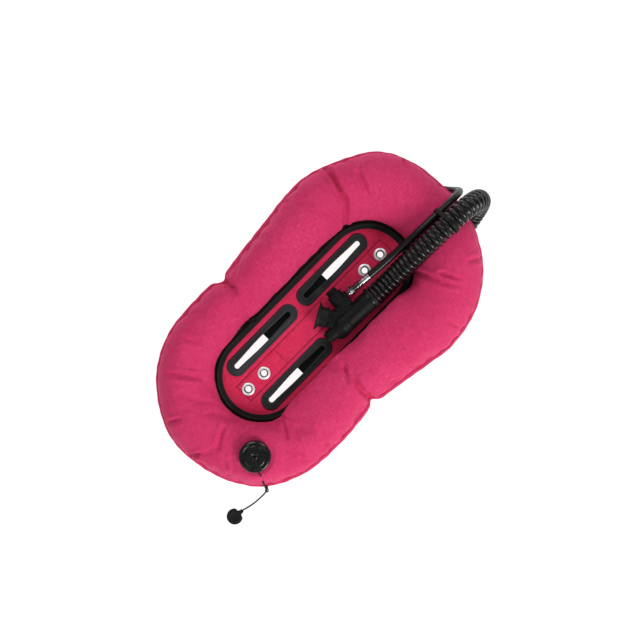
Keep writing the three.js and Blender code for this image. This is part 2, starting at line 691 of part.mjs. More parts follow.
function hoses() {
  piece('corrugated_hose', tubeAlong(corrugatedRoute, corrugatedDiameter, 12, 26), blackRubber);
  piece('lp_hose', tubeAlong(lpRoute, lpDiameter, 8, 34), blackRubber);

  const around = 3 * gap + keeperWall;
  const [lpX, , lpZ] = lpRoute[7];
  const [bigX, bigY] = corrugatedRoute[8];
  const bigRadius = corrugatedDiameter / 2 + around;
  const circles = [
    [lpX, lpZ, lpDiameter / 2 + around],
    [bigX, tubeHeight + keeperRest + bigRadius, bigRadius],
  ];
  const shape = belt(circles, 0);
  shape.holes.push(belt(circles, keeperWall));
  const settings = { depth: keeperWidth, bevelEnabled: false, curveSegments: 12 };
  const band = new THREE.ExtrudeGeometry(shape, settings);
  piece('hose_keeper', band.rotateX(Math.PI / 2).translate(0, bigY + 12, 0), blackRubber);

  const [before, last] = lpRoute.slice(-2);
  const end = new THREE.Group();
  end.position.set(...last);
  wing.add(end);
  const core = lpDiameter / 2 - 0.2;
  piece('lp_crimp', aimed(disc(core, gap, 20, 12), before, last), steel, end);
  const fitting = turned([
    [0, 20 + gap], [core - 0.6, 20 + gap], [core - 0.6, 28], [4.7, 28], [4.7, 29], [3.6, 29], [3.6, 31],
    [4.7, 31], [4.7, 39], [0, 39],
  ], 12);
  piece('lp_fitting', aimed(fitting, before, last), steel, end);
  piece('lp_o_ring', aimed(ring(3.6 + 0.1, 5.1, 29.2, 30.8, 12), before, last), blackRubber, end);
}

// ---- Power inflator -----------------------------------------------------------------------------

// The barrel lies along its group's +Y; the group's origin is the middle of the barrel.
const barrelLength = 78;
const barrelTopY = 88.6;
const barrelRest = 0.7;          // the hose's tie over the slot frame below it
const barrelAxisZ = frameTop + barrelRest + tieRadius;
const inflatorTurn = -2.9;
const housingY = 1;              // inflate button's housing, from the middle of the barrel
const housingReach = 48;         // how far it stands out from the barrel's axis
const portY = 19;
const portX = -32.3;             // quick-connect port on the housing
const mouthY = -17.4;
const mouthTurn = 32.6;          // degrees that the mouthpiece dips from -X towards -Y
const mouthReach = 46;
const oralCollarLength = 14;

const inflator = new THREE.Group();
inflator.position.set(33.3, barrelTopY - barrelLength / 2, barrelAxisZ);
inflator.rotation.z = inflatorTurn * deg;

function alongY(geometry, y) {
  return geometry.rotateX(-Math.PI / 2).translate(0, y, 0);
}

function towardsMinusX(geometry) {
  return geometry.rotateY(-Math.PI / 2);
}

function powerInflator() {
  wing.add(inflator);
  const radius = barrelDiameter / 2;
  const half = barrelLength / 2;
  const oral = oralButtonDiameter / 2;

  const barrel = alongY(turned([
    [0, -half], [oral + 2.5, -half], [radius, -half + 12], [radius, half], [0, half],
  ], 24), 0);
  const collar = alongY(disc(oral + 2.5, -oralCollarLength, 1, 20), -half);
  const housing = towardsMinusX(disc(buttonHousingDiameter / 2, 0, housingReach, 20))
    .translate(0, housingY, 0);
  const port = alongY(disc(7, 0, 12, 16), 0).translate(portX, portY - 12, 0);
  const neck = towardsMinusX(disc(11.5, 0, mouthReach - 12, 16))
    .rotateZ(mouthTurn * deg).translate(0, mouthY, 0);

  const airWay = alongY(disc(radius - 4.5, -half + 22, half + 5, 16), 0);
  const oralBore = alongY(disc(oral + gap, -oralCollarLength - 5, 6, 20), -half);
  const pushBore = disc(inflateButtonDiameter / 2 + gap, housingReach - 14, housingReach + 5, 20);
  const buttonBore = towardsMinusX(pushBore).translate(0, housingY, 0);
  const breath = towardsMinusX(disc(mouthpieceBore / 2, 10, mouthReach, 16))
    .rotateZ(mouthTurn * deg).translate(0, mouthY, 0);
  const body = cut(joined(barrel, collar, housing, port, neck), airWay, oralBore, buttonBore, breath);
  piece('inflator_body', body, blackPlastic, inflator);

  // Inflate button, pressed towards +X, on its spring.
  const pocket = housingReach - 14;
  const buttonLow = housingReach - 7;
  const buttonEnd = housingReach + 9;
  const button = turned([
    [0, pocket + 1 + inflateTravel], [2.2, pocket + 1 + inflateTravel], [2.2, buttonLow],
    [inflateButtonDiameter / 2, buttonLow], [inflateButtonDiameter / 2, buttonEnd - 1.5],
    [inflateButtonDiameter / 2 - 1.5, buttonEnd], [0, buttonEnd],
  ], 20);
  piece('inflate_button', towardsMinusX(button).translate(0, housingY, 0), blackPlastic, inflator);
  const pushSpring = spring(5.2, 0.9, buttonLow - pocket - 2 * gap, 2).translate(0, 0, pocket + gap);
  piece('inflate_spring', towardsMinusX(pushSpring).translate(0, housingY, 0), steel, inflator);

  // Deflate button at the end of the barrel, pressed towards +Y.
  const face = -half - oralCollarLength;
  const oralHead = alongY(disc(oral, 0, 7, 20), face - oralTravel - 1);
  const oralStem = alongY(disc(2.2, 0, 12 - oralTravel, 10), face - oralTravel + 5.9);
  piece('oral_button', joined(oralHead, oralStem), blackPlastic, inflator);
  const oralSpring = spring(5, 0.9, 11, 2);
  piece('oral_spring', alongY(oralSpring, face + 7 - oralTravel - 1 + gap), steel, inflator);

  // Mouthpiece: a soft funnel with an oval lip.
  const lipSide = mouthReach + 2;
  const oval = new THREE.Shape().absellipse(0, 0, mouthpieceHeight / 2, mouthpieceWidth / 2, 0, 2 * Math.PI);
  const lip = plate(oval, mouthReach - 2, 4, 10);
  const sleeve = turned([
    [0, mouthReach - 17], [15, mouthReach - 17], [12, mouthReach - 1], [0, mouthReach - 1],
  ], 20);
  const through = disc(mouthpieceBore / 2, 0, lipSide + 5, 16);
  const overNeck = disc(11.5 + gap, 0, mouthReach - 12 + gap, 16);
  const mouth = towardsMinusX(cut(joined(lip, sleeve), through, overNeck));
  piece('mouthpiece', mouth.rotateZ(mouthTurn * deg).translate(0, mouthY, 0), blackRubber, inflator);
}

// Quick connect: nipple on the inflator, then the coupler on the low-pressure hose.
function quickConnect() {
  const line = new THREE.Group();
  line.position.set(portX, portY, 0);
  line.rotation.set(-(90 - 9) * deg, 0, -3 * deg, 'ZXY');
  inflator.add(line);
  const lead = 1.4;
  const sleeveTop = 13;
  const collarLow = sleeveTop + sleeveTravel + 2;
  piece('quick_nipple', turned([
    [0, lead], [5.5, lead], [5.5, lead + 3], [3.4, lead + 3], [3.4, 14], [0, 14],
  ], 16), steel, line);
  piece('coupler_body', turned([
    [3.4 + gap, lead + 4], [5.2, lead + 4], [5.2, collarLow], [6.3, collarLow], [6.3, 27], [4.8, 27],
    [4.8, 30], [0, 30], [0, 15], [3.4 + gap, 15], [3.4 + gap, lead + 4],
  ], 16), steel, line);
  piece('coupler_sleeve', ring(5.2 + gap, 7.6, lead + 4, sleeveTop, 18), steel, line);
  piece('hose_crimp', disc(lpDiameter / 2 - 0.6, 30 + gap, 47, 14), steel, line);
}

// Clamps that hold the corrugated hose on its two spigots.
function hoseTies() {
  const inner = tieRadius - tieWall;
  const top = alongY(ring(inner, tieRadius, 0, tieWidth, 20), barrelLength / 2 + 1.5);
  piece('barrel_hose_tie', top, blackTape, inflator);
  const back = ring(inner, tieRadius, 0, tieWidth, 20).rotateX(-Math.PI / 2)
    .translate(0, elbowFlangeDiameter / 2 + 1, elbowZ);
  piece('elbow_hose_tie', back.rotateZ(elbowTurn * deg).translate(elbowX, elbowY, 0), blackTape);
}

fabricParts();
centrePanel();
slotCentres.forEach(([name, x, y]) => slotFrame(name, x, y));
grommetCentres.forEach(([name, x, y]) => grommet(name, x, y));
tankPad();
zip();
dumpValve();
cordEnds();
elbow();
hoses();
powerInflator();
quickConnect();
hoseTies();

export default wing;
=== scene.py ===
import math

import bmesh
import bpy
import numpy as np
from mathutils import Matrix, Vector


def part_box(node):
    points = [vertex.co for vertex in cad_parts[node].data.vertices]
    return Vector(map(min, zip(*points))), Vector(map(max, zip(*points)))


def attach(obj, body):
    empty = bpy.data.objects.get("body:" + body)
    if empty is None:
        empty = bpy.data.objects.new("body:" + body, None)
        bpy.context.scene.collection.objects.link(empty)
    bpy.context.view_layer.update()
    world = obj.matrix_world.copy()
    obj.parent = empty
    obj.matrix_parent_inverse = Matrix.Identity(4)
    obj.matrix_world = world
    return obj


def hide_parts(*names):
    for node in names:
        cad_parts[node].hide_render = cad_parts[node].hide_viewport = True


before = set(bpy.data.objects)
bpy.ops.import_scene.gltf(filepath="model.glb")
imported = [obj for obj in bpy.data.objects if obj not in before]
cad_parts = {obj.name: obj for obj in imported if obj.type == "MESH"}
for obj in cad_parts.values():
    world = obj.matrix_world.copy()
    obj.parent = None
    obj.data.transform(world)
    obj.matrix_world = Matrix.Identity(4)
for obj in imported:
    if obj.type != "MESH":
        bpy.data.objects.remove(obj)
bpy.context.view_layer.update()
scene = bpy.context.scene
mm = 0.001


# Camera, straight above, turned so that the top of the wing points up and to the right

view = {"centre": (-0.0002, 0.0068), "height": 2.054, "turn": 44.4, "angle": 30.16}

cameraData = bpy.data.cameras.new("camera")
cameraData.angle = math.radians(view["angle"])
camera = bpy.data.objects.new("camera", cameraData)
camera.location = (*view["centre"], view["height"])
camera.rotation_euler = (0, 0, math.radians(view["turn"]))
scene.collection.objects.link(camera)
scene.camera = camera
scene.view_settings.view_transform = "Standard"


# Curves and surfaces, in millimetres

def unit(v):
    v = np.asarray(v, float)
    return v / np.maximum(np.linalg.norm(v, axis=-1, keepdims=True), 1e-12)


def smooth(x, low, high):
    # 0 below low, 1 above high, an S between them
    t = np.clip((x - low) / (high - low), 0, 1)
    return t * t * (3 - 2 * t)


def splineThrough(points, closed=False, perSpan=24):
    # one cubic from each point to the next, its slopes set by the square roots of the gaps
    p = np.asarray(points, float)
    if closed:
        before, start, end, after = np.roll(p, 1, 0), p, np.roll(p, -1, 0), np.roll(p, -2, 0)
    else:
        full = np.vstack([2 * p[0] - p[1], p, 2 * p[-1] - p[-2]])
        before, start, end, after = full[:-3], full[1:-2], full[2:-1], full[3:]

    def root(a, b):
        return np.linalg.norm(b - a, axis=1)[:, None] ** 0.5

    d0, d1, d2 = root(before, start), root(start, end), root(end, after)
    leave = ((start - before) / d0 - (end - before) / (d0 + d1) + (end - start) / d1) * d1
    arrive = ((end - start) / d1 - (after - start) / (d1 + d2) + (after - end) / d2) * d1
    square, cube = 3 * (end - start) - 2 * leave - arrive, 2 * (start - end) + leave + arrive
    t = (np.arange(perSpan) / perSpan)[None, :, None]
    curve = start[:, None] + leave[:, None] * t + square[:, None] * t ** 2 + cube[:, None] * t ** 3
    curve = curve.reshape(-1, p.shape[1])
    return curve if closed else np.vstack([curve, p[-1]])


def evenly(curve, count, closed=False):
    # the same curve with count points at equal distances, and its length
    loop = np.vstack([curve, curve[:1]]) if closed else curve
    run = np.concatenate([[0], np.cumsum(np.linalg.norm(np.diff(loop, axis=0), axis=1))])
    at = np.linspace(0, run[-1], count + 1)[:-1] if closed else np.linspace(0, run[-1], count)
    return np.stack([np.interp(at, run, column) for column in loop.T], 1), run[-1]


def framesAlong(path):
    # heading, side and top at each point of a path, carried along it without twisting
    heading = unit(np.gradient(path, axis=0))
    side = np.zeros_like(path)
    last = np.cross(heading[0], (0.31, 0.17, 0.94))
    for i, h in enumerate(heading):
        last = unit(last - h * last.dot(h))
        side[i] = last
    return heading, side, np.cross(heading, side)


def gridSurface(points, closeRows=False, closeCols=False, capStart=False, capEnd=False, uv=None):
    # quads between the rows and columns of a grid of points; a cap is a fan to the row's middle
    rows, cols = points.shape[:2]
    if uv is None:
        uv = np.zeros((rows + 1, cols + 1, 2))
    i = np.arange(rows if closeRows else rows - 1)[:, None]
    j = np.arange(cols if closeCols else cols - 1)[None, :]
    down, right = (i + 1) % rows, (j + 1) % cols
    quads = np.stack([i * cols + j, i * cols + right, down * cols + right, down * cols + j], -1)
    corners = np.stack([uv[i, j], uv[i, j + 1], uv[i + 1, j + 1], uv[i + 1, j]], 2)
    flat, faces = points.reshape(-1, 3), quads.reshape(-1, 4).tolist()
    uvs = corners.reshape(-1, 2).tolist()
    for wanted, row in ((capStart, 0), (capEnd, rows - 1)):
        if wanted:
            ring = row * cols + np.arange(cols)
            pole = len(flat)
            flat = np.vstack([flat, points[row].mean(0)])
            faces += [[pole, int(a), int(b)] for a, b in zip(ring, np.roll(ring, -1))]
            uvs += [uv[row, 0].tolist()] * (3 * cols)
    return flat, faces, uvs


def turnedSurface(profile, at=(0, 0, 0), axis=(0, 0, 1), sides=48, swell=None):
    # a profile of radius and height carried round an axis; swell adds to the radius by angle
    profile = np.asarray(profile, float)
    axis = unit(axis)
    first = unit(np.cross(axis, (0.0, 0.0, 1.0) if abs(axis[2]) < 0.9 else (0.0, 1.0, 0.0)))
    second = np.cross(axis, first)
    startsOnAxis, endsOnAxis = profile[0, 0] < 1e-6, profile[-1, 0] < 1e-6
    rows = profile[int(startsOnAxis):len(profile) - int(endsOnAxis)]
    angle = np.arange(sides) * 2 * np.pi / sides
    radius = np.repeat(rows[:, :1], sides, 1)
    if swell is not None:
        radius = radius + swell(angle[None, :], rows[:, :1], rows[:, 1:])
    spoke = np.cos(angle)[:, None] * first + np.sin(angle)[:, None] * second
    points = np.asarray(at, float) + rows[:, 1][:, None, None] * axis + radius[..., None] * spoke
    height, turn = np.append(rows[:, 1], rows[0, 1]), np.append(angle, 2 * np.pi)
    uv = np.stack(np.broadcast_arrays(turn[None, :] * rows[:, 0].max(), height[:, None]), -1) * mm
    closed = not (startsOnAxis or endsOnAxis)
    return gridSurface(points, closed, True, startsOnAxis, endsOnAxis, uv)


def softened(profile, size, closed=False, steps=3):
    # each corner gives way to a short curve that starts and ends size away from it
    p = np.asarray(profile, float)
    out = []
    for k, corner in enumerate(p):
        if not closed and k in (0, len(p) - 1):
            out.append(corner)
            continue
        ends = []
        for other in (p[k - 1], p[(k + 1) % len(p)]):
            length = np.linalg.norm(other - corner)
            ends.append(corner + (other - corner) / length * min(size, 0.45 * length))
        t = np.linspace(0, 1, steps + 1)[:, None]
        out.extend((1 - t) ** 2 * ends[0] + 2 * t * (1 - t) * corner + t * t * ends[1])
    return np.array(out)


def ringProfile(inner, outer, low, high, soft=0.4):
    return softened([[inner, low], [outer, low], [outer, high], [inner, high]], soft, closed=True)


def rodProfile(radius, low, high, soft=0.8):
    return softened([[0, low], [radius, low], [radius, high], [0, high]], soft)


def tubeSurface(path, radius, sides=24, caps=True):
    # circles of the given radius round each point of a path, with the length run and the turn as its map
    _, side, top = framesAlong(path)
    angle = np.arange(sides) * 2 * np.pi / sides
    spoke = np.cos(angle)[None, :, None] * side[:, None] + np.sin(angle)[None, :, None] * top[:, None]
    radius = np.broadcast_to(np.asarray(radius, float), (len(path),))
    points = path[:, None] + radius[:, None, None] * spoke
    run = np.concatenate([[0], np.cumsum(np.linalg.norm(np.diff(path, axis=0), axis=1))])
    turn = np.append(angle, 2 * np.pi) * radius.max()
    uv = np.stack(np.broadcast_arrays(run[:, None], turn[None, :]), -1) * mm
    return gridSurface(points, False, True, caps, caps, uv)


def bandSurface(centre, outward, section, uvScale=1.0):
    # a closed section of (outwards, up) offsets carried round a closed loop
    section = np.asarray(section, float)
    if section.ndim == 2:
        section = np.broadcast_to(section, (len(centre), *section.shape))
    points = centre[:, None] + section[..., :1] * outward[:, None] + section[..., 1:] * np.array([0, 0, 1.0])
    run = np.linalg.norm(np.diff(np.vstack([centre, centre[:1]]), axis=0), axis=1)
    run = np.concatenate([[0], np.cumsum(run)])
    girth = np.linalg.norm(np.diff(np.vstack([section[0], section[0][:1]]), axis=0), axis=1)
    girth = np.concatenate([[0], np.cumsum(girth)])
    uv = np.stack(np.broadcast_arrays(run[:, None], girth[None, :]), -1) * mm * uvScale
    return gridSurface(points, True, True, uv=uv)


def blockSurface(size, centre, xAxis=(1, 0, 0), yAxis=(0, 1, 0), power=0.28):
    # a box whose corners are rounded: a ball with each coordinate raised to a small power
    across, around = np.linspace(-np.pi / 2, np.pi / 2, 16)[1:-1, None], np.arange(32)[None, :] * np.pi / 16

    def bent(v):
        return np.sign(v) * np.abs(v) ** power

    local = np.stack(np.broadcast_arrays(
        bent(np.cos(across)) * bent(np.cos(around)), bent(np.cos(across)) * bent(np.sin(around)),
        bent(np.sin(across))), -1) * np.asarray(size, float) / 2
    axes = np.stack([unit(xAxis), unit(yAxis), np.cross(unit(xAxis), unit(yAxis))])
    return gridSurface(local @ axes + np.asarray(centre, float), False, True, True, True)


def stitchSurface(places, along, up, length, wide, high):
    # short rounded dashes: a six-sided spindle at each place
    rise = np.array([0.35, 1.0, 1.0, 0.35])[:, None]
    stretch = np.array([-0.5, -0.3, 0.3, 0.5])[:, None]
    angle = np.arange(6)[None, :] * np.pi / 3
    shape = np.stack(np.broadcast_arrays(
        stretch * length, rise * wide / 2 * np.cos(angle), rise * high / 2 * np.sin(angle)), -1)
    flat, faces, uvs = gridSurface(shape, False, True, True, True)
    side = np.cross(up, along)
    axes = np.stack([along, side, up], 1)
    points = places[:, None] + np.einsum("pk,nkc->npc", flat, axes)
    shifted = [[v + n * len(flat) for v in face] for n in range(len(places)) for face in faces]
    return points.reshape(-1, 3), shifted, uvs * len(places)


def stitchRow(curve, spacing, length, wide, high, up=(0, 0, 1), closed=False):
    count = max(2, int(evenly(curve, 2, closed)[1] / spacing))
    places = evenly(curve, count, closed)[0]
    ahead = np.roll(places, -1, 0) - np.roll(places, 1, 0) if closed else np.gradient(places, axis=0)
    up = np.broadcast_to(np.asarray(up, float), places.shape)
    along = unit(ahead - up * (ahead * up).sum(1, keepdims=True))
    return stitchSurface(places, along, up, length, wide, high)


def makePiece(name, surfaces, material, stands=(), body="wing", sharp=38, outward=True):
    points, faces, uvs, start = [], [], [], 0
    for flat, some, someUvs in surfaces:
        points.append(flat)
        faces += [[v + start for v in face] for face in some]
        uvs += someUvs
        start += len(flat)
    mesh = bpy.data.meshes.new(name)
    mesh.from_pydata((np.vstack(points) * mm).tolist(), [], faces)
    mesh.uv_layers.new(name="flat").data.foreach_set("uv", np.asarray(uvs, float).ravel())
    if outward:
        work = bmesh.new()
        work.from_mesh(mesh)
        bmesh.ops.recalc_face_normals(work, faces=work.faces)
        work.to_mesh(mesh)
        work.free()
    mesh.polygons.foreach_set("use_smooth", np.ones(len(mesh.polygons), bool))
    mesh.set_sharp_from_angle(angle=math.radians(sharp))
    mesh.materials.append(material)
    piece = bpy.data.objects.new(name, mesh)
    scene.collection.objects.link(piece)
    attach(piece, body)
    if stands:
        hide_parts(*stands)
    return piece


# Finishes

def linear(red, green, blue):
    v = np.array([red, green, blue]) / 255
    return (*np.where(v <= 0.04045, v / 12.92, ((v + 0.055) / 1.055) ** 2.4).tolist(), 1.0)


class Finish:
    def __init__(self, name, roughness, metallic=0.0):
        self.material = bpy.data.materials.new(name)
        self.material.use_nodes = True
        self.nodes, self.links = self.material.node_tree.nodes, self.material.node_tree.links
        self.shader = self.nodes["Principled BSDF"]
        self.shader.inputs["Roughness"].default_value = roughness
        self.shader.inputs["Metallic"].default_value = metallic
        self.place = self.nodes.new("ShaderNodeTexCoord")

    def coords(self, kind, stretch=(1, 1, 1), turn=0.0):
        mapping = self.nodes.new("ShaderNodeMapping")
        mapping.inputs["Scale"].default_value = stretch
        mapping.inputs["Rotation"].default_value = (0, 0, turn)
        self.links.new(self.place.outputs[kind], mapping.inputs["Vector"])
        return mapping.outputs["Vector"]

    def noise(self, coords, scale, detail=2.0):
        node = self.nodes.new("ShaderNodeTexNoise")
        node.inputs["Scale"].default_value = scale
        node.inputs["Detail"].default_value = detail
        self.links.new(coords, node.inputs["Vector"])
        return node.outputs["Fac"]

    def bands(self, coords, pitch, direction="X"):
        node = self.nodes.new("ShaderNodeTexWave")
        node.bands_direction = direction
        node.inputs["Scale"].default_value = 2 * math.pi / (20 * pitch)
        self.links.new(coords, node.inputs["Vector"])
        return node.outputs["Fac"]

    def maths(self, operation, a, b):
        node = self.nodes.new("ShaderNodeMath")
        node.operation = operation
        for socket, value in zip(node.inputs, (a, b)):
            if isinstance(value, (int, float)):
                socket.default_value = value
            else:
                self.links.new(value, socket)
        return node.outputs["Value"]

    def colours(self, factor, stops):
        node = self.nodes.new("ShaderNodeValToRGB")
        for k, (at, colour) in enumerate(stops):
            stop = node.color_ramp.elements[k] if k < 2 else node.color_ramp.elements.new(at)
            stop.position, stop.color = at, colour
        self.links.new(factor, node.inputs["Fac"])
        self.links.new(node.outputs["Color"], self.shader.inputs["Base Color"])

    def roughness(self, factor, low, high):
        node = self.nodes.new("ShaderNodeMapRange")
        node.inputs["To Min"].default_value, node.inputs["To Max"].default_value = low, high
        self.links.new(factor, node.inputs["Value"])
        self.links.new(node.outputs["Result"], self.shader.inputs["Roughness"])

    def bump(self, height, strength, distance):
        node = self.nodes.new("ShaderNodeBump")
        node.inputs["Strength"].default_value = strength
        node.inputs["Distance"].default_value = distance
        self.links.new(height, node.inputs["Height"])
        self.links.new(node.outputs["Normal"], self.shader.inputs["Normal"])


def clothFinish(name, dark, middle, light, pitch=0.0011, sheen=0.15, depth=0.00018):
    # plain weave with slubs: streaks along both threads tint it, crossed waves raise it
    f = Finish(name, 0.82)
    warp = f.noise(f.coords("UV", (70, 1100, 1)), 1.0, 3)
    weft = f.noise(f.coords("UV", (1100, 70, 1)), 1.0, 3)
    cloud = f.noise(f.coords("UV"), 9.0, 3)
    tint = f.maths("ADD", f.maths("MULTIPLY", f.maths("ADD", warp, weft), 0.42),
                   f.maths("MULTIPLY", cloud, 0.16))
    f.colours(tint, [(0.36, linear(*dark)), (0.64, linear(*light)), (0.5, linear(*middle))])
    threads = f.maths("MULTIPLY", f.bands(f.coords("UV"), pitch, "X"), f.bands(f.coords("UV"), pitch, "Y"))
    f.bump(f.maths("ADD", threads, f.maths("MULTIPLY", tint, 1.5)), 0.6, depth)
    f.shader.inputs["Sheen Weight"].default_value = sheen
    f.shader.inputs["Sheen Roughness"].default_value = 0.45
    f.shader.inputs["Sheen Tint"].default_value = linear(255, 150, 180)
    f.shader.inputs["Specular IOR Level"].default_value = 0.25
    return f.material


def mouldedFinish(name, dark, light, low, high, grain=700.0, depth=0.00012, specular=0.5):
    # fine moulded grain over slow changes of tone and gloss
    f = Finish(name, low)
    slow = f.noise(f.coords("Object"), 28.0, 4)
    fine = f.noise(f.coords("Object"), grain, 2)
    f.colours(f.maths("ADD", f.maths("MULTIPLY", slow, 0.7), f.maths("MULTIPLY", fine, 0.3)),
              [(0.35, linear(*dark)), (0.65, linear(*light))])
    f.roughness(slow, low, high)
    f.bump(fine, 0.35, depth)
    f.shader.inputs["Specular IOR Level"].default_value = specular
    return f.material


def metalFinish(name, dark, light, low, high, metallic=1.0):
    # turned metal: faint rings of tone and gloss
    f = Finish(name, low, metallic)
    slow = f.noise(f.coords("Object"), 90.0, 3)
    fine = f.noise(f.coords("Object", (1, 1, 6)), 500.0, 2)
    f.colours(slow, [(0.3, linear(*dark)), (0.7, linear(*light))])
    f.roughness(fine, low, high)
    f.bump(fine, 0.1, 0.00005)
    return f.material


def wovenFinish(name, dark, light, pitch, slant, depth=0.0002, roughness=0.7):
    # tape or braid: two slanting families of threads on the piece's own map
    f = Finish(name, roughness)
    one = f.bands(f.coords("UV", turn=slant), pitch, "X")
    two = f.bands(f.coords("UV", turn=-slant), pitch, "X")
    threads = f.maths("MAXIMUM", one, two)
    fuzz = f.noise(f.coords("UV"), 900.0, 3)
    f.colours(f.maths("ADD", f.maths("MULTIPLY", threads, 0.6), f.maths("MULTIPLY", fuzz, 0.4)),
              [(0.25, linear(*dark)), (0.85, linear(*light))])
    f.bump(threads, 0.8, depth)
    f.shader.inputs["Specular IOR Level"].default_value = 0.3
    return f.material


shellCloth = clothFinish("pinkOxford", (190, 36, 84), (205, 45, 97), (219, 68, 119))
hemCloth = clothFinish("pinkHem", (204, 50, 98), (217, 60, 110), (229, 80, 130), 0.0009)
panelCloth = clothFinish("pinkPanel", (193, 27, 68), (209, 37, 80), (221, 56, 99), 0.0009)
# panel stitches in a near-black red: painted shade of the grooves along the stitched rows
panelStitchPaintedShade = wovenFinish("panelStitchPaintedShade", (62, 6, 24), (104, 14, 42), 0.0005, 0.6)
hemThread = wovenFinish("hemThread", (190, 42, 88), (222, 70, 120), 0.0005, 0.6)
greyThread = wovenFinish("greyThread", (44, 46, 48), (78, 80, 82), 0.0005, 0.6)
zipCloth = wovenFinish("zipTapeWeave", (4, 5, 5), (15, 16, 17), 0.0012, 0.7)
zipPlastic = mouldedFinish("zipPlastic", (5, 6, 6), (12, 13, 13), 0.38, 0.5, specular=0.3)
frameRubber = mouldedFinish("frameRubber", (34, 36, 38), (45, 48, 50), 0.55, 0.7, 500, 0.0002, 0.22)
padRubber = mouldedFinish("padRubber", (9, 10, 10), (17, 18, 19), 0.6, 0.75, 400, 0.0003, 0.2)
hoseRubber = mouldedFinish("hoseRubber", (3, 3, 4), (7, 7, 8), 0.24, 0.34, 500, 0.00006, 0.4)
thinHoseRubber = mouldedFinish("thinHoseRubber", (6, 7, 7), (12, 13, 13), 0.3, 0.42, 600, 0.00008, 0.35)
tieNylon = mouldedFinish("tieNylon", (6, 7, 7), (12, 13, 14), 0.45, 0.6, specular=0.2)
bodyPlastic = mouldedFinish("inflatorPlastic", (7, 7, 8), (13, 13, 14), 0.48, 0.6, 900, 0.00012, 0.15)
valvePlastic = mouldedFinish("valvePlastic", (8, 8, 9), (15, 15, 16), 0.38, 0.5, 900, specular=0.35)
capGloss = mouldedFinish("capGloss", (5, 5, 6), (10, 10, 11), 0.14, 0.24, 300, 0.00004, 0.55)
mouthRubber = mouldedFinish("mouthRubber", (11, 11, 12), (19, 20, 21), 0.55, 0.68, 500, 0.00015, 0.22)
knobRubber = mouldedFinish("knobRubber", (10, 10, 11), (18, 18, 19), 0.55, 0.7, 450, 0.0002, 0.25)
cordBraid = wovenFinish("cordBraid", (5, 5, 5), (17, 17, 18), 0.0013, 0.75, 0.0003, 0.75)
# steel for the grommets and washers: its own light grey raised to near-white and made mostly diffuse, painted
# reflection of the bright surroundings
steelPaintedReflection = metalFinish("brightSteelPaintedReflection", (226, 227, 228), (244, 245, 246), 0.26, 0.38, 0.35)
chromeFinish = metalFinish("chrome", (48, 50, 53), (132, 134, 137), 0.1, 0.2)
# dark metal for the inside of the grommet holes: painted shade of the bore and its inner chamfer
boreShadeFinish = metalFinish("grommetHolePaintedShade", (58, 59, 60), (92, 93, 95), 0.3, 0.45, 0.6)
springFinish = metalFinish("springSteel", (150, 151, 153), (190, 191, 193), 0.22, 0.35)
filmFinish = mouldedFinish("bladderFilm", (188, 183, 176), (206, 202, 196), 0.4, 0.55, 300, 0.0001)
sheetFinish = mouldedFinish("stiffenerSheet", (222, 222, 217), (234, 234, 230), 0.4, 0.5, 300, 0.0001)
sealFinish = mouldedFinish("silicone", (176, 176, 172), (192, 192, 188), 0.4, 0.5, 300, 0.00005)
print("finishes made")


# Hoses and cord, each the route of its solid

hoses = {
    "corrugatedRoute": [
        [35.5, 89.1, 79.8], [36.1, 101, 80], [36.6, 120, 82.4], [37.0, 140, 87.5], [37.2, 162, 96.5],
        [37.4, 186, 109.5], [37.9, 211, 121.5], [38.7, 235, 128.3], [39.5, 258, 130.6], [40.4, 279, 130.2],
        [41.8, 298, 126.7], [44.0, 314.4, 117.2], [46.8, 326.7, 102.6], [50.0, 333.2, 84.8],
        [53.4, 333.2, 65.7], [57.0, 326.7, 47.9], [60.4, 314.4, 33.3], [63.2, 302.4, 25.6],
        [65.8, 288.8, 21.4], [67.96, 279.25, 20.5], [70.07, 269.81, 20.5],
    ],
    "corrugatedDiameter": 36.0,
    "ribPitch": 9.3,
    "ribDepth": 3.2,
    "cuffLength": 8.0,
    "lpRoute": [
        [6.84, 117, 87.3], [7.96, 127.8, 89], [9.8, 150, 93.4], [11.5, 175, 100], [12.9, 200, 109.5],
        [14.1, 225, 116.2], [15.1, 250, 118], [16, 272, 117.6], [16.6, 293, 110.5], [16.8, 311, 95.5],
        [16.4, 321.5, 77], [14, 325, 58], [8.5, 322.5, 42], [-1, 316.5, 28], [-15, 309.5, 16.5],
        [-33, 304, 9.5], [-54, 299.5, 7.2], [-76, 292.5, 7], [-97, 283, 7], [-117, 270, 7],
        [-134, 254, 7], [-148, 235, 7], [-159, 214, 7], [-167, 192, 7], [-172, 169, 7],
    ],
    "lpDiameter": 12.7,
    "cordRoute": [
        [80, -227, 124.9], [90, -232.7, 124.9], [98.6, -237.6, 124.9], [103.8, -240.6, 123.2],
        [106.4, -242, 118.5], [107.4, -242.6, 113], [109.4, -243.7, 106.6], [114, -246.3, 101.2],
        [120, -249.7, 95.6], [126, -253.2, 87.2], [131.4, -256.9, 76], [134.8, -259.3, 66],
        [136.6, -260.6, 56], [138, -263, 41], [139.2, -266.5, 26], [140.4, -273, 12.5],
        [140.8, -283, 4.6], [140.2, -296, 2], [137.8, -309, 1.8], [134.4, -321.5, 1.8],
    ],
    "cordDiameter": 2.8,
}

corrugatedPath, corrugatedLength = evenly(splineThrough(hoses["corrugatedRoute"]), 720)
lpPath, lpLength = evenly(splineThrough(hoses["lpRoute"]), 360)
cordPath, cordLength = evenly(splineThrough(hoses["cordRoute"]), 260)


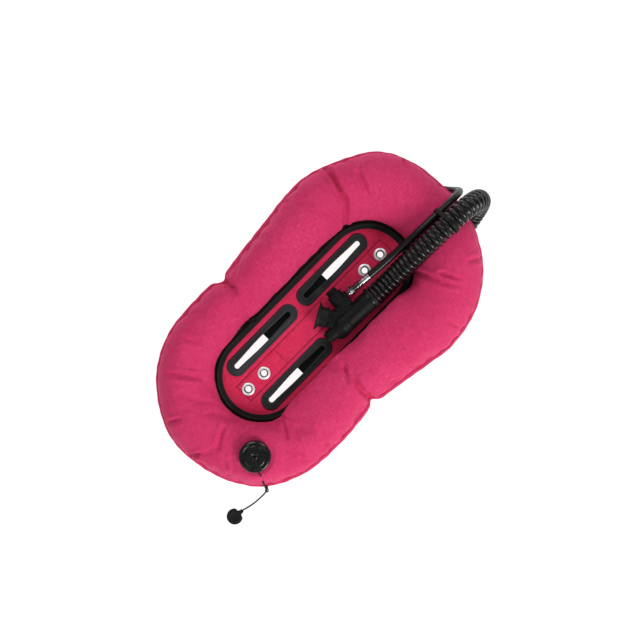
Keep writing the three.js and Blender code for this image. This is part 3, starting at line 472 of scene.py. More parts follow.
def makeCorrugatedHose():
    # radius along the hose: a smooth cuff at each end, broad rounded ribs with sharp valleys between
    run = np.linspace(0, corrugatedLength, len(corrugatedPath))
    full = hoses["corrugatedDiameter"] / 2 + 0.7
    fromEnd = np.minimum(run - hoses["cuffLength"], corrugatedLength - 12 - run)
    wave = np.abs(np.sin(np.pi * fromEnd / hoses["ribPitch"]))
    ribs = full - hoses["ribDepth"] * (1 - wave ** 0.75)
    ribbed = smooth(fromEnd, -0.5, 0.5)
    cuff = full - 1.2
    return makePiece(
        "corrugated_hose_ribbed", [tubeSurface(corrugatedPath, cuff * (1 - ribbed) + ribs * ribbed, 48)],
        hoseRubber, ("corrugated_hose",), sharp=70)


def makeLpHose():
    run = np.linspace(0, lpLength, len(lpPath))
    radius = hoses["lpDiameter"] / 2 - 0.15 - 0.05 * np.sin(run * 0.9)
    return makePiece("lp_hose_smooth", [tubeSurface(lpPath, radius, 24)], thinHoseRubber,
                     ("lp_hose",))


def makeCord():
    run = np.linspace(0, cordLength, len(cordPath))
    radius = hoses["cordDiameter"] / 2 - 0.06 - 0.05 * np.cos(run * 2 * np.pi / 2.6)
    return makePiece("pull_cord_braid", [tubeSurface(cordPath, radius, 12)], cordBraid,
                     ("pull_cord",))


corrugatedHose, lpHose, pullCord = makeCorrugatedHose(), makeLpHose(), makeCord()
print(f"hoses: corrugated {corrugatedLength:.1f} mm, low pressure {lpLength:.1f} mm, cord {cordLength:.1f} mm")


# Fabric of the wing

wing = {
    "outline": [
        [1.000, 0.417], [0.964, 0.262], [0.912, 0.086], [0.868, -0.055], [0.820, -0.092], [0.858, -0.128],
        [0.886, -0.242], [0.896, -0.394], [0.866, -0.600], [0.716, -0.800], [0.461, -0.924],
        [0.128, -0.988], [-0.216, -0.988], [-0.524, -0.898], [-0.758, -0.760], [-0.890, -0.584],
        [-0.921, -0.390], [-0.913, -0.248], [-0.876, -0.215], [-0.862, -0.188], [-0.894, -0.152],
        [-0.921, -0.060], [-0.968, 0.194], [-1.000, 0.385], [-0.990, 0.518], [-0.874, 0.706],
        [-0.691, 0.882], [-0.382, 0.976], [-0.045, 0.998], [0.150, 0.994], [0.330, 0.970],
        [0.470, 0.938], [0.744, 0.816], [0.937, 0.632],
    ],
    "halfWidth": 187.5,
    "halfLength": 312.0,
    "panelCentre": (-5.0, -2.0),
    "seamRadius": 83.0,
    "seamHalfStraight": 127.0,
    "middle": 54.0,
    "hemWidth": 4.5,
    "lean": 13.0,
    "bulge": 11.5,
    "around": 300,
    "across": 60,
}


def loopStations(count):
    # places round the wing: the outer edge, the panel spine's nearest point and the way from one to the other
    outline = splineThrough(wing["outline"], True, 60)
    low, high = outline.min(0), outline.max(0)
    outline = (outline - (low + high) / 2) / ((high - low) / 2) * (wing["halfWidth"], wing["halfLength"])
    outer = evenly(outline, count, True)[0]
    centre, half = np.array(wing["panelCentre"]), wing["seamHalfStraight"]
    spine = np.stack([np.full(count, centre[0]), centre[1] + np.clip(outer[:, 1] - centre[1], -half, half)],
                     1)
    return spine, unit(outer - spine), np.linalg.norm(outer - spine, axis=1)


def tubeGrid(count, turns, inset=0.0, plump=1.0):
    # section at each station: an ellipse from the inner seam to the hem, its inner top leaning over the zip
    # on the +X side; returns points and the outward normals of the ellipse
    spine, out, reach = loopStations(count)
    phi = np.arange(turns)[None, :] * 2 * np.pi / turns
    inner, outer = wing["seamRadius"] - 1.0 + inset, reach - wing["hemWidth"] - inset
    centre, half = ((inner + outer) / 2)[:, None], ((outer - inner) / 2)[:, None]
    slack = np.clip((100 - (reach - wing["seamRadius"])) / 20, 0, 1)[:, None] * 10
    middle = wing["middle"]
    height = np.where(np.sin(phi) > 0, middle - slack, middle) * plump - inset
    edgeY = spine[:, 1] + out[:, 1] * reach
    lean = smooth(out[:, 0], 0.2, 0.9) * smooth(-np.abs(edgeY + 5), -225, -110)
    nearSlider = np.exp(-((edgeY + 82) / 34) ** 2) * smooth(-out[:, 0], 0, 0.5)
    lean = (wing["lean"] * (1 - 0.5 * nearSlider) + lean * wing["bulge"])[:, None]
    lean = lean * np.exp(-((phi - 2.5) / 0.5) ** 2) * smooth(np.pi - phi, 0, 0.35)
    lean = np.where(phi < np.pi, lean, 0)
    far = centre + half * np.cos(phi) - lean
    rise = middle + height * np.sign(np.sin(phi)) * np.abs(np.sin(phi)) ** 1.04
    points = np.concatenate([spine[:, None] + out[:, None] * far[..., None], rise[..., None]], -1)
    normals = np.concatenate([out[:, None] * (np.cos(phi) * height)[..., None],
                              (half * np.sin(phi))[..., None]], -1)
    return points, unit(normals), phi


def inflate(points):
    # the cloth is cut a little larger than its seams, held at both seams and the valve, and blown up
    count, turns = points.shape[:2]
    flat, faces, _ = gridSurface(points, True, True)
    mesh = bpy.data.meshes.new("inflating")
    mesh.from_pydata((flat * mm).tolist(), [], faces)
    cloth = bpy.data.objects.new("inflating", mesh)
    scene.collection.objects.link(cloth)
    held = cloth.vertex_groups.new(name="held")
    seam = np.isin(np.arange(count * turns) % turns, (0, turns // 2))
    nearValve = np.hypot(flat[:, 0] - 80, flat[:, 1] + 227) < 33
    held.add(np.flatnonzero(seam | (nearValve & (flat[:, 2] > 60))).tolist(), 1.0, "ADD")
    modifier = cloth.modifiers.new("cloth", "CLOTH")
    settings = modifier.settings
    settings.quality = 7
    settings.mass = 0.15
    settings.tension_stiffness = settings.compression_stiffness = 20
    settings.shear_stiffness = 8
    settings.bending_stiffness = 0.6
    settings.vertex_group_mass = "held"
    settings.shrink_min = -0.035
    settings.use_pressure = True
    settings.uniform_pressure_force = 4
    settings.effector_weights.gravity = 0
    modifier.collision_settings.use_collision = False
    modifier.point_cache.frame_start, modifier.point_cache.frame_end = 1, 20
    for step in range(1, 21):
        scene.frame_set(step)
    blown = cloth.evaluated_get(bpy.context.evaluated_depsgraph_get()).data
    result = np.empty(len(flat) * 3)
    blown.vertices.foreach_get("co", result)
    scene.frame_set(1)
    bpy.data.objects.remove(cloth)
    bpy.data.meshes.remove(mesh)
    return result.reshape(points.shape) / mm


def doubled(grid, axis):
    # twice the points along one closed direction, each new one on a cubic through its four neighbours
    one, two = np.roll(grid, -1, axis), np.roll(grid, -2, axis)
    between = (9 * (grid + one) - np.roll(grid, 1, axis) - two) / 16
    return np.stack([grid, between], axis + 1).reshape(
        *grid.shape[:axis], 2 * grid.shape[axis], *grid.shape[axis + 1:])


creases = [  # places along the fold, depth, width
    ([(-182, 197), (-160, 192), (-137, 185), (-116, 178), (-92, 169)], 8.0, 4.0),
    ([(-112, 180), (-98, 168), (-82, 150), (-66, 133)], 4.0, 3.8),
    ([(-127, 225), (-102, 215), (-78, 203)], 3.6, 4.2),
    ([(-96, 303), (-84, 293), (-72, 282)], 5.0, 3.6),
    ([(156, -26), (131, -28), (114, -25), (94, -19)], 6.5, 4.0),
    ([(80, -19), (92, -28), (107, -33)], 3.4, 3.6),
    ([(156, -26), (141, -21), (130, -16)], 3.6, 3.2),
    ([(-166, -58), (-148, -56), (-127, -51)], 5.0, 3.8),
    ([(43, -205), (44, -222), (47, -241), (56, -256), (74, -269), (87, -276), (98, -288)], 5.0, 3.6),
    ([(10, -232), (18, -247), (25, -260), (30, -270)], 3.0, 4.0),
    ([(80, -163), (92, -168), (104, -172)], 2.6, 3.8),
    ([(-116, -230), (-94, -214), (-63, -191)], 3.6, 4.6),
    ([(-140, -170), (-120, -160), (-100, -156)], 2.2, 4.5),
    ([(88, 201), (104, 208), (126, 222)], 3.2, 3.8),
    ([(60, 177), (80, 184), (102, 193), (140, 221)], 2.8, 4.4),
    ([(4, -308), (10, -297), (17, -284)], 4.2, 3.4),
    ([(-60, -292), (-54, -278), (-46, -262)], 2.6, 4.0),
    ([(158, 60), (146, 62), (130, 60)], 2.4, 4.0),
    ([(178, 160), (160, 156), (142, 150)], 2.6, 4.2),
    ([(120, 268), (112, 256), (104, 240)], 2.6, 4.2),
    ([(152, -130), (140, -128), (124, -122)], 2.4, 4.2),
]


def foldDepth(plan, folds):
    # distance from each point to the fold's line: a V of the given width with low shoulders,
    # fading at its ends
    total = np.zeros(plan.shape[:-1])
    for places, depth, width in folds:
        line = evenly(splineThrough(places), 22)[0]
        distance = np.linalg.norm(plan[..., None, :] - line, axis=-1)
        nearest = distance.argmin(-1) / 21
        d = distance.min(-1) / (0.88 * width)
        fade = smooth(nearest, -0.25, 0.2) * (1 - smooth(nearest, 0.5, 1.0))
        shape = np.exp(-np.abs(d) ** 1.15) - 0.36 * np.exp(-((d - 2.1) / 1.0) ** 2)
        total += 1.9 * depth * fade * shape
    return total


def pocketFloor(plan):
    # lowest height of the back fabric over the elbow and the hose that leaves it
    x, y = plan[..., 0], plan[..., 1]
    fromElbow = np.hypot(x - 74.5, y - 250)
    floor = 44.6 - 6 * np.clip(fromElbow - 29.5, 0, None)
    line = corrugatedPath[corrugatedPath[:, 1] > 262]
    line = line[line[:, 2] < 50][::6]
    line = np.vstack([line, [74.5, 250, 20.5]])
    distance = np.linalg.norm(plan[..., None, :] - line[:, :2], axis=-1)
    nearest, d, radius = line[distance.argmin(-1), 2], distance.min(-1), 22.4
    arch = np.sqrt(np.clip(radius ** 2 - d ** 2, 0, None)) - 5 * np.clip(d - radius, 0, None)
    return np.maximum(floor, nearest + 2 + arch)


def pushedClear(points, path, radius):
    # points inside the given distance of a path move straight away from it
    distance = np.linalg.norm(points[..., None, :] - path, axis=-1)
    nearest = path[distance.argmin(-1)]
    d = distance.min(-1)[..., None]
    return np.where(d < radius, nearest + unit(points - nearest) * radius, points)


def ripple(around, rates):
    return sum(np.sin(2 * np.pi * around * rate + 1.7 * k * k) for k, rate in enumerate(rates)) / len(rates)


def fabricGrid():
    base, normals, phi = tubeGrid(wing["around"], wing["across"], plump=0.985)
    around = (np.arange(wing["around"]) / wing["around"])[:, None]
    nearHem, nearPanel = np.exp(-(np.sin(phi / 2) / 0.3) ** 2), np.exp(-(np.cos(phi / 2) / 0.22) ** 2)
    pucker = nearHem * ripple(around, (41, 53, 67)) * 1.5 + nearPanel * ripple(around, (31, 43, 71)) * 1.0
    start = base + normals * (pucker * np.abs(np.sin(phi)) ** 0.5)[..., None]
    points = start
    blown = inflate(start)
    shift = blown - start
    length = np.linalg.norm(shift, axis=-1, keepdims=True)
    limit = 5.5
    points = start + shift * limit * np.tanh(length / limit) / np.maximum(length, 1e-6)
    print(f"fabric blown up: it moved {length.mean():.1f} mm on average, {length.max():.1f} mm at most")
    for axis in (0, 1):
        points, normals = doubled(points, axis), unit(doubled(normals, axis))
    count, turns = points.shape[:2]
    phi = np.arange(turns)[None, :] * 2 * np.pi / turns
    around = (np.arange(count) / count)[:, None]
    uneven = ripple(around + 0.02 * np.sin(phi * 2), (5, 8, 13)) * 1.2 * np.abs(np.sin(phi))
    points = points + normals * uneven[..., None]
    fold = foldDepth(points[..., :2], creases) * np.where(points[..., 2] > 52, 1, 0)
    points = points - normals * (fold * smooth(np.abs(np.sin(phi)), 0.02, 0.25))[..., None]

    front = points[..., 2] > wing["middle"]
    fromValve = np.hypot(points[..., 0] - 80, points[..., 1] + 227)
    grip = np.where(front, 1 - smooth(fromValve, 30, 58), 0)
    patch = 0.7 * (1 - smooth(fromValve, 35.5, 36.5)) * smooth(fromValve, 30, 31)
    points[..., 2] += (107.4 - points[..., 2]) * grip + patch * front

    back = points[..., 2] < wing["middle"] - 0.1
    floor = np.minimum(pocketFloor(points[..., :2]), wing["middle"] - 3)
    points[..., 2] = np.where(back, np.maximum(points[..., 2], floor), points[..., 2])
    points = pushedClear(points, corrugatedPath[(corrugatedPath[:, 2] > 60)][::6], 19.2)
    points = pushedClear(points, lpPath[::5], 7.4)
    points = pushedClear(points, cordPath[60::4], 2.3)
    low, high = 0.25, np.where(fromValve < 60, 108.0, 111.5)
    points[..., 2] = np.clip(points[..., 2], low, high)
    return points, phi


def makeShells():
    points, _ = fabricGrid()
    count, turns = points.shape[:2]
    half = turns // 2
    run = np.linalg.norm(np.diff(np.concatenate([points, points[:, :1]], 1), axis=1), axis=-1)
    run = np.concatenate([np.zeros((count, 1)), np.cumsum(run, 1)], 1)
    spine, out, _ = loopStations(count)
    pieces = []
    for name, slotNode, first, last in (("wing_front", "shell_front", 0, half),
                                        ("wing_back", "shell_back", half, turns)):
        columns = np.arange(first, last + 1) % turns
        grid = points[:, columns]
        seamRun = run[:, first:last + 1]
        fromPanel = (run[:, half:half + 1] - seamRun) if first == 0 else (seamRun - run[:, half:half + 1])
        uv = spine[:, None] + out[:, None] * (wing["seamRadius"] + fromPanel)[..., None]
        uv = np.concatenate([uv, uv[:1]], 0) * mm
        grid = grid.copy()
        grid[:, 0 if first == 0 else -1, 2] += 0.6 if first == 0 else -0.6
        piece = makePiece(name, [gridSurface(grid, True, False, uv=uv)], shellCloth,
                          (slotNode,), sharp=180)
        flip = piece.data.polygons[len(piece.data.polygons) // 2]
        wall = piece.modifiers.new("wall", "SOLIDIFY")
        wall.thickness, wall.offset = 0.9 * mm, -1
        upwards = flip.normal.z > 0
        if upwards != (first == 0):
            piece.data.flip_normals()
        pieces.append(piece)
    return pieces


def makeBladder():
    points, _, _ = tubeGrid(220, 28, inset=10.5)
    back = points[..., 2] < wing["middle"]
    floor = np.minimum(pocketFloor(points[..., :2]) + 9, wing["middle"])
    points[..., 2] = np.where(back, np.maximum(points[..., 2], floor), points[..., 2])
    points[..., 2] = np.minimum(points[..., 2], np.where(
        np.hypot(points[..., 0] - 80, points[..., 1] + 227) < 40, 86, 108))
    return makePiece("air_bladder", [gridSurface(points, True, True)], filmFinish,
                     ("bladder",), sharp=180)


def makeHem():
    # flat hem outside the seam, slightly ruffled, with a row of stitches on both faces
    count = 900
    spine, out, reach = loopStations(count)
    around = np.arange(count) / count
    lift = ripple(around, (29, 47, 61)) * 0.7
    pull = ripple(around, (37, 59, 83)) * 0.5 - 0.6
    centre = np.column_stack([spine + out * (reach + pull)[:, None], wing["middle"] + lift])
    outward = np.column_stack([out, np.zeros(count)])
    section = [[-9, -0.9], [-3, -1.2], [-1.2, -1.7], [1.0, -1.6], [2.2, -0.9], [2.4, 0],
               [2.2, 0.9], [1.0, 1.6], [-1.2, 1.7], [-3, 1.2], [-9, 0.9]]
    makePiece("edge_hem", [bandSurface(centre, outward, section)], hemCloth,
              ("edge_binding",), sharp=60)
    rows = [stitchRow(centre + outward * -2.0 + np.array([0, 0, 1.55 * face]), 4.2, 3.0, 0.7, 0.7,
                      closed=True)
            for face in (-1, 1)]
    makePiece("edge_hem_stitches", rows, hemThread)


makeShells()
makeBladder()
makeHem()
print("fabric made")


# Centre panel

panel = {
    "centre": (-5.0, -2.0),
    "halfStraight": 127.0,
    "edge": 82.2,
    "front": 56.5,
    "back": 51.5,
    "cloth": 1.2,
    "stripHalf": 17.0,
    "stripY": (-172.0, 174.0),
    "crossY": (-83.0, 143.0),
}
slots = {
    "offset": (40.5, 83.5), "straight": 120.0, "open": 6.5, "frameStraight": 124.0, "frame": 16.5,
    "names": (("upper_left", -1, 1), ("upper_right", 1, 1), ("lower_left", -1, -1), ("lower_right", 1, -1)),
}
grommets = {
    "bore": 5.35, "barrel": 6.35, "flange": 11.0, "low": 49.0, "washerLow": 50.3, "washerHigh": 51.2,
    "places": (("top_outer", 158.45), ("top_inner", 120.95), ("bottom_inner", -120.95),
               ("bottom_outer", -158.45)),
}
slotPlaces = [(name, panel["centre"][0] + side * slots["offset"][0],
               panel["centre"][1] + end * slots["offset"][1], end)
              for name, side, end in slots["names"]]
grommetPlaces = [(name, panel["centre"][0], panel["centre"][1] + y) for name, y in grommets["places"]]


def stadium(radius, halfStraight, centre, perEnd=120, perSide=120, z=0.0):
    # loop of two half circles joined by straights: the spine's point, the way out and the place on the loop
    turn = np.arange(perEnd) * np.pi / perEnd
    level = np.linspace(-1, 1, perSide + 1)[:-1] * halfStraight
    spineY = np.concatenate([np.full(perEnd, halfStraight), -level, np.full(perEnd, -halfStraight), level])
    outX = np.concatenate([np.cos(turn), np.full(perSide, -1.0), -np.cos(turn), np.full(perSide, 1.0)])
    outY = np.concatenate([np.sin(turn), np.zeros(perSide), -np.sin(turn), np.zeros(perSide)])
    spine = np.column_stack([np.full(len(spineY), centre[0]), centre[1] + spineY, np.full(len(spineY), z)])
    out = np.column_stack([outX, outY, np.zeros(len(outX))])
    return spine, out, spine + out * radius


def fromStitching(x, y):
    # distance to the nearest row of panel stitching
    dx, dy = np.abs(np.abs(x - panel["centre"][0]) - panel["stripHalf"]), np.abs(x - panel["centre"][0])
    low, high = panel["stripY"]
    sides = np.hypot(dx, np.clip(low - y, 0, None) + np.clip(y - high, 0, None))
    inStrip = np.clip(dy - panel["stripHalf"], 0, None)
    crosses = [np.hypot(y - level, inStrip) for level in (*panel["crossY"], low, high)]
    return np.minimum.reduce([sides, *crosses])


def fromFittings(x, y):
    # distance to the nearest slot frame's or grommet's flange, negative beneath it
    away = [np.hypot(x - cx, np.clip(np.abs(y - cy) - slots["frameStraight"] / 2, 0, None)) - slots["frame"]
            for _, cx, cy, _ in slotPlaces]
    away += [np.hypot(x - cx, y - cy) - grommets["flange"] for _, cx, cy in grommetPlaces]
    return np.minimum.reduce(away)


def makePanelCloth(name, stands, face, direction):
    # cloth over the stiffener: soft swellings between the stitched lines, holes under the flanges
    spine, out, _ = stadium(1, panel["halfStraight"], panel["centre"])
    across = np.linspace(0, 1, 66) ** 0.92 * panel["edge"]
    points = spine[None] + out[None] * across[:, None, None]
    x, y = points[..., 0], points[..., 1]
    seam, fitting = fromStitching(x, y), fromFittings(x, y)
    free = smooth(fitting, 0.5, 9) * smooth(panel["edge"] - 17 - across, 0, 7)[:, None]
    swell = 0.9 * (1 - np.exp(-seam / 5)) * free + 0.25 * free * ripple(y / 300 + x / 190, (3, 5, 7))
    groove = 1.1 * np.exp(-(seam / 1.3) ** 2)
    points[..., 2] = face + direction * (swell - groove * smooth(fitting, 0, 2))
    uv = np.concatenate([points[..., :2], points[:, :1, :2]], 1) * mm
    flat, faces, uvs = gridSurface(points, False, True, uv=uv)
    middle = flat[np.array(faces)].mean(1)
    slotHole = np.minimum.reduce([
        np.hypot(middle[:, 0] - cx, np.clip(np.abs(middle[:, 1] - cy) - slots["straight"] / 2, 0, None))
        for _, cx, cy, _ in slotPlaces]) < 10.6
    boltHole = np.minimum.reduce([np.hypot(middle[:, 0] - cx, middle[:, 1] - cy) for _, cx,
                                  cy in grommetPlaces]) < 8
    keep = ~(slotHole | boltHole)
    faces = [corners for corners, kept in zip(faces, keep) if kept]
    uvs = np.array(uvs).reshape(-1, 4, 2)[keep].reshape(-1, 2).tolist()
    piece = makePiece(name, [(flat, faces, uvs)], panelCloth, stands, sharp=60, outward=False)
    work = bmesh.new()
    work.from_mesh(piece.data)
    bmesh.ops.remove_doubles(work, verts=work.verts, dist=1e-6)
    bmesh.ops.delete(work, geom=[v for v in work.verts if not v.link_faces], context="VERTS")
    bmesh.ops.recalc_face_normals(work, faces=work.faces)
    work.to_mesh(piece.data)
    work.free()
    if (piece.data.polygons[0].normal.z > 0) != (direction > 0):
        piece.data.flip_normals()
    wall = piece.modifiers.new("wall", "SOLIDIFY")
    wall.thickness, wall.offset = (panel["cloth"] - 0.05) * mm, -1
    return piece


def panelStitches(name, z, up):
    cx = panel["centre"][0]
    low, high = panel["stripY"]
    rows = []
    for side in (-1, 1):
        level = np.linspace(low, high, 200)
        clear = level[fromFittings(np.full(200, cx + side * panel["stripHalf"]), level) > 0.5]
        rows.append(np.column_stack([np.full(len(clear), cx + side * panel["stripHalf"]), clear, np.full(len(clear), z)]))
    for level in (*panel["crossY"], *panel["stripY"]):
        rows.append(np.array([[cx - panel["stripHalf"] + 1, level, z], [cx + panel["stripHalf"] - 1, level, z]]))
    # the stitches' dark red is painted shade of the stitched grooves
    makePiece(name, [stitchRow(row, 3.4, 2.9, 0.8, 0.6, up=(0, 0, up)) for row in rows], panelStitchPaintedShade)


def makeSlotFrame(name, cx, cy):
    # moulded rubber ring: bead at the opening, stitched groove, thin outer edge, a neck through the panel
    perEnd, perSide = 40, 60
    spine, out, _ = stadium(1, slots["straight"] / 2, (cx, cy), perEnd, perSide)
    stretch = 1 + (slots["frameStraight"] - slots["straight"]) / 2 / (slots["frame"] - slots["open"]) * np.abs(out[:, 1])
    taper = 2.1 * smooth(np.abs(spine[:, 1] - cy), 4, 62)
    opening = slots["open"] - taper * (1 - 0.4 * np.abs(out[:, 1]))
    top, bottom = panel["front"] + 0.3, panel["back"] - 0.3
    section = np.array([
        [0.0, bottom - 1.6], [0.0, top + 1.6], [0.25, top + 2.2], [0.9, top + 2.4], [2.2, top + 2.4],
        [2.9, top + 2.1],
        [3.6, top + 1.7], [5.4, top + 1.6], [5.9, top + 1.15], [6.5, top + 1.15], [7.0, top + 1.6],
        [8.3, top + 1.5],
        [9.3, top + 1.15], [9.85, top + 0.6], [9.9, top + 0.05], [2.45, top + 0.02], [2.45, bottom - 0.02],
        [9.9, bottom - 0.05], [9.85, bottom - 0.6], [9.3, bottom - 1.2], [7.0, bottom - 1.6],
        [3.6, bottom - 1.7],
        [2.9, bottom - 2.1], [2.2, bottom - 2.4], [0.9, bottom - 2.4], [0.25, bottom - 2.2]])
    offset = section[:, 0][None, :]
    far = opening[:, None] + offset * stretch[:, None] + (slots["open"] - opening)[:, None] * np.clip(offset / 2.4, 0, 1)
    points = spine[:, None] + out[:, None] * far[..., None]
    points[..., 2] = section[:, 1][None, :]
    run = np.append(np.arange(len(spine)), len(spine)) * 1.1
    uv = np.stack(np.broadcast_arrays(run[:, None], np.arange(len(section) + 1)[None, :] * 1.0), -1) * mm
    makePiece("slot_frame_rubber_" + name, [gridSurface(points, True, True, uv=uv)], frameRubber,
              ("slot_frame_" + name,), sharp=50)
    groove = spine + out * (slots["open"] + 6.2 * stretch)[:, None]
    faces = [stitchRow(groove + np.array([0, 0, z]), 3.6, 2.4, 0.8, 0.6, closed=True) for z in (top + 1.3,
                                                                                                bottom - 1.75)]
    makePiece("slot_frame_stitches_" + name, faces, greyThread)


def makeGrommet(name, x, y):
    g, top = grommets, panel["front"] + 0.3
    shape = softened([
        [g["bore"], g["low"]], [g["barrel"] + 1.6, g["low"]], [g["barrel"] + 1.6, g["low"] + 1],
        [g["barrel"], g["low"] + 1], [g["barrel"], top], [g["flange"], top], [g["flange"] - 0.3, top + 0.7],
        [g["barrel"] + 1.6, top + 1.6], [g["barrel"] + 0.6, top + 1.3], [g["bore"], top + 0.4]], 0.35,
        closed=True)
    makePiece("grommet_rolled_" + name, [turnedSurface(shape, (x, y, 0), sides=48)], steelPaintedReflection,
              ("grommet_" + name,))
    # a thin dark sleeve over the bore and the inner edge of the rolled rim: painted shade of the hole's inner wall
    shadeSleeve = softened([
        [g["bore"] - 0.15, g["low"] + 0.2], [g["bore"] + 0.1, g["low"] + 0.2], [g["bore"] + 0.1, top + 0.55],
        [g["barrel"] + 0.9, top + 1.5], [g["barrel"] + 0.7, top + 1.7], [g["bore"] - 0.15, top + 0.8]],
        0.15, closed=True)
    makePiece("grommet_hole_painted_shade_" + name, [turnedSurface(shadeSleeve, (x, y, 0), sides=48)], boreShadeFinish)
    washer = ringProfile(g["barrel"] + 0.3, g["flange"], g["washerLow"], g["washerHigh"], 0.3)
    makePiece("grommet_washer_turned_" + name, [turnedSurface(washer, (x, y, 0), sides=48)], steelPaintedReflection,
              ("grommet_washer_" + name,))


def makeTankPad():
    # rubber plate with rounded corners and ribs along its cylinder side, and the stem that joins it to the panel
    width, length, low, high = 116.0, 141.0, 44.5, 48.5
    cx, cy = panel["centre"][0], panel["centre"][1] - 5
    u, v = np.linspace(-1, 1, 117), np.linspace(-1, 1, 97)
    x, y = np.meshgrid(u, v, indexing="ij")
    corner = 8.0
    halfX = width / 2 - corner * (1 - np.sqrt(np.clip(1 - np.clip((np.abs(y) * length / 2 - length / 2 + corner) / corner, 0, 1) ** 2, 0, 1)))
    plan = np.stack([cx + x * halfX, cy + y * length / 2], -1)
    rim = np.minimum(1 - np.abs(x), 1 - np.abs(y))
    ribs = 0.55 * (0.5 - 0.5 * np.cos(2 * np.pi * x * width / 2 / 7)) * smooth(rim, 0.03, 0.08)
    under = low + 0.9 * (1 - smooth(rim, 0, 0.02)) + ribs
    over = high - 0.5 * (1 - smooth(rim, 0, 0.02))
    bottom = np.concatenate([plan, under[..., None]], -1)
    top = np.concatenate([plan, over[..., None]], -1)
    sheet = np.concatenate([bottom, top[:, ::-1]], 1)
    sideLow = gridSurface(np.stack([bottom[0], top[0]]))
    sideHigh = gridSurface(np.stack([bottom[-1], top[-1]]))
    plate = gridSurface(sheet, False, True)
    stem = blockSurface((40, length - 2, 3.2), (cx, cy, 49.7), power=0.12)
    piece = makePiece("tank_pad_ribbed", [plate, sideLow, sideHigh, stem], padRubber,
                      ("tank_pad",), sharp=50)
    work = bmesh.new()
    work.from_mesh(piece.data)
    bmesh.ops.remove_doubles(work, verts=work.verts, dist=1e-6)
    bmesh.ops.recalc_face_normals(work, faces=work.faces)
    work.to_mesh(piece.data)
    work.free()


makePanelCloth("panel_cloth_front", ("panel_front",), panel["front"], 1)
makePanelCloth("panel_cloth_back", ("panel_back",), panel["back"], -1)
panelStitches("panel_stitches_front", panel["front"] - 0.35, 1)
for name, x, y, _ in slotPlaces:
    makeSlotFrame(name, x, y)
for name, x, y in grommetPlaces:
    makeGrommet(name, x, y)
makeTankPad()
print("panel made")


# Access zip

zipper = {"outer": 82.3, "inner": 65.5, "low": 56.8, "tape": 0.8, "coil": 73.9, "coilWide": 5.0,
          "coilHigh": 2.2,
          "toothPitch": 2.3, "slider": (-78.9, -73.0)}


def makeZip():
    width = zipper["outer"] - zipper["inner"]
    _, out, loop = stadium(zipper["inner"], panel["halfStraight"], panel["centre"], 150, 150, zipper["low"])
    tape = [[0, 0], [0, 0.55], [0.8, 0.8], [2.2, 0.62], [3.4, 0.8], [width - 3.4, 0.8], [width - 2.2, 0.62],
            [width - 0.8, 0.8], [width, 0.55], [width, 0]]
    makePiece("zip_tape_woven", [bandSurface(loop, out, tape)], zipCloth, ("zip_tape",), sharp=60)
    rows = []
    for across in (2.2, width - 2.2):
        rows.append(stitchRow(loop + out * across + np.array([0, 0, 0.72]), 3.4, 2.4, 0.6, 0.4, closed=True))
    makePiece("zip_tape_stitches", rows, greyThread)
    coarse = stadium(zipper["coil"], panel["halfStraight"], panel["centre"], 200, 200, 0)[2]
    length = evenly(coarse, 2, True)[1]
    teeth = int(length / zipper["toothPitch"])
    centre = evenly(coarse, teeth * 6, True)[0]
    ahead = unit(np.roll(centre, -1, 0) - np.roll(centre, 1, 0))
    outward = np.column_stack([ahead[:, 1], -ahead[:, 0], np.zeros(len(ahead))])
    wave = np.cos(np.arange(len(centre)) * 2 * np.pi / 6)
    low, high = zipper["low"] + zipper["tape"] + 0.2, zipper["coilHigh"]
    angle = np.arange(10) * 2 * np.pi / 10 + 0.1
    half = (zipper["coilWide"] / 2 - 0.25 + 0.22 * wave)[:, None]
    lift = (high / 2 - 0.2 + 0.18 * wave)[:, None]
    shape = np.stack([half * np.sign(np.cos(angle)) * np.abs(np.cos(angle)) ** 0.6,
                      low + high / 2 + lift * np.sign(np.sin(angle)) * np.abs(np.sin(angle)) ** 0.7], -1)
    makePiece("zip_coil_teeth", [bandSurface(centre, outward, shape)], zipPlastic,
              ("zip_coil",), sharp=70)

    x, y = zipper["slider"]
    slider = [blockSurface((2.0, 13, 6.4), (x + side * 3.6, y, 61.1), power=0.4) for side in (-1, 1)]
    slider += [blockSurface((8.6, 12.4, 1.9), (x, y, 61.4), power=0.45)]
    slider += [blockSurface((1.3, 4.2, 3.4), (x + side * 2.6, y - 2, 63.6), power=0.6) for side in (-1, 1)]
    makePiece("zip_slider_cast", slider, zipPlastic, ("zip_slider",), body="zip_slider")
    bar = turnedSurface(rodProfile(0.6, -3.1, 3.1, 0.2), (x + 0.05, y - 2, 63.8), (1, 0, 0), 16)
    tab = blockSurface((3.6, 21, 1.3), (x + 0.05, y - 12.3, 63.8), power=0.35)
    grip = [blockSurface((2.6, 0.9, 1.8), (x + 0.05, y - 14 - 2 * k, 63.8), power=0.6) for k in range(4)]
    makePiece("zip_pull_tab", [bar, tab, *grip], zipPlastic, ("zip_pull",),
              body="zip_pull")


makeZip()
print("zip made")


# Dump valve

valve = {"at": (80.0, -227.0, 0.0), "seat": 108.3, "flange": 26.2, "cap": 26.0, "capLow": 111.1, "top": 123.0,
         "neck": 18.0, "neckLow": 89.0}


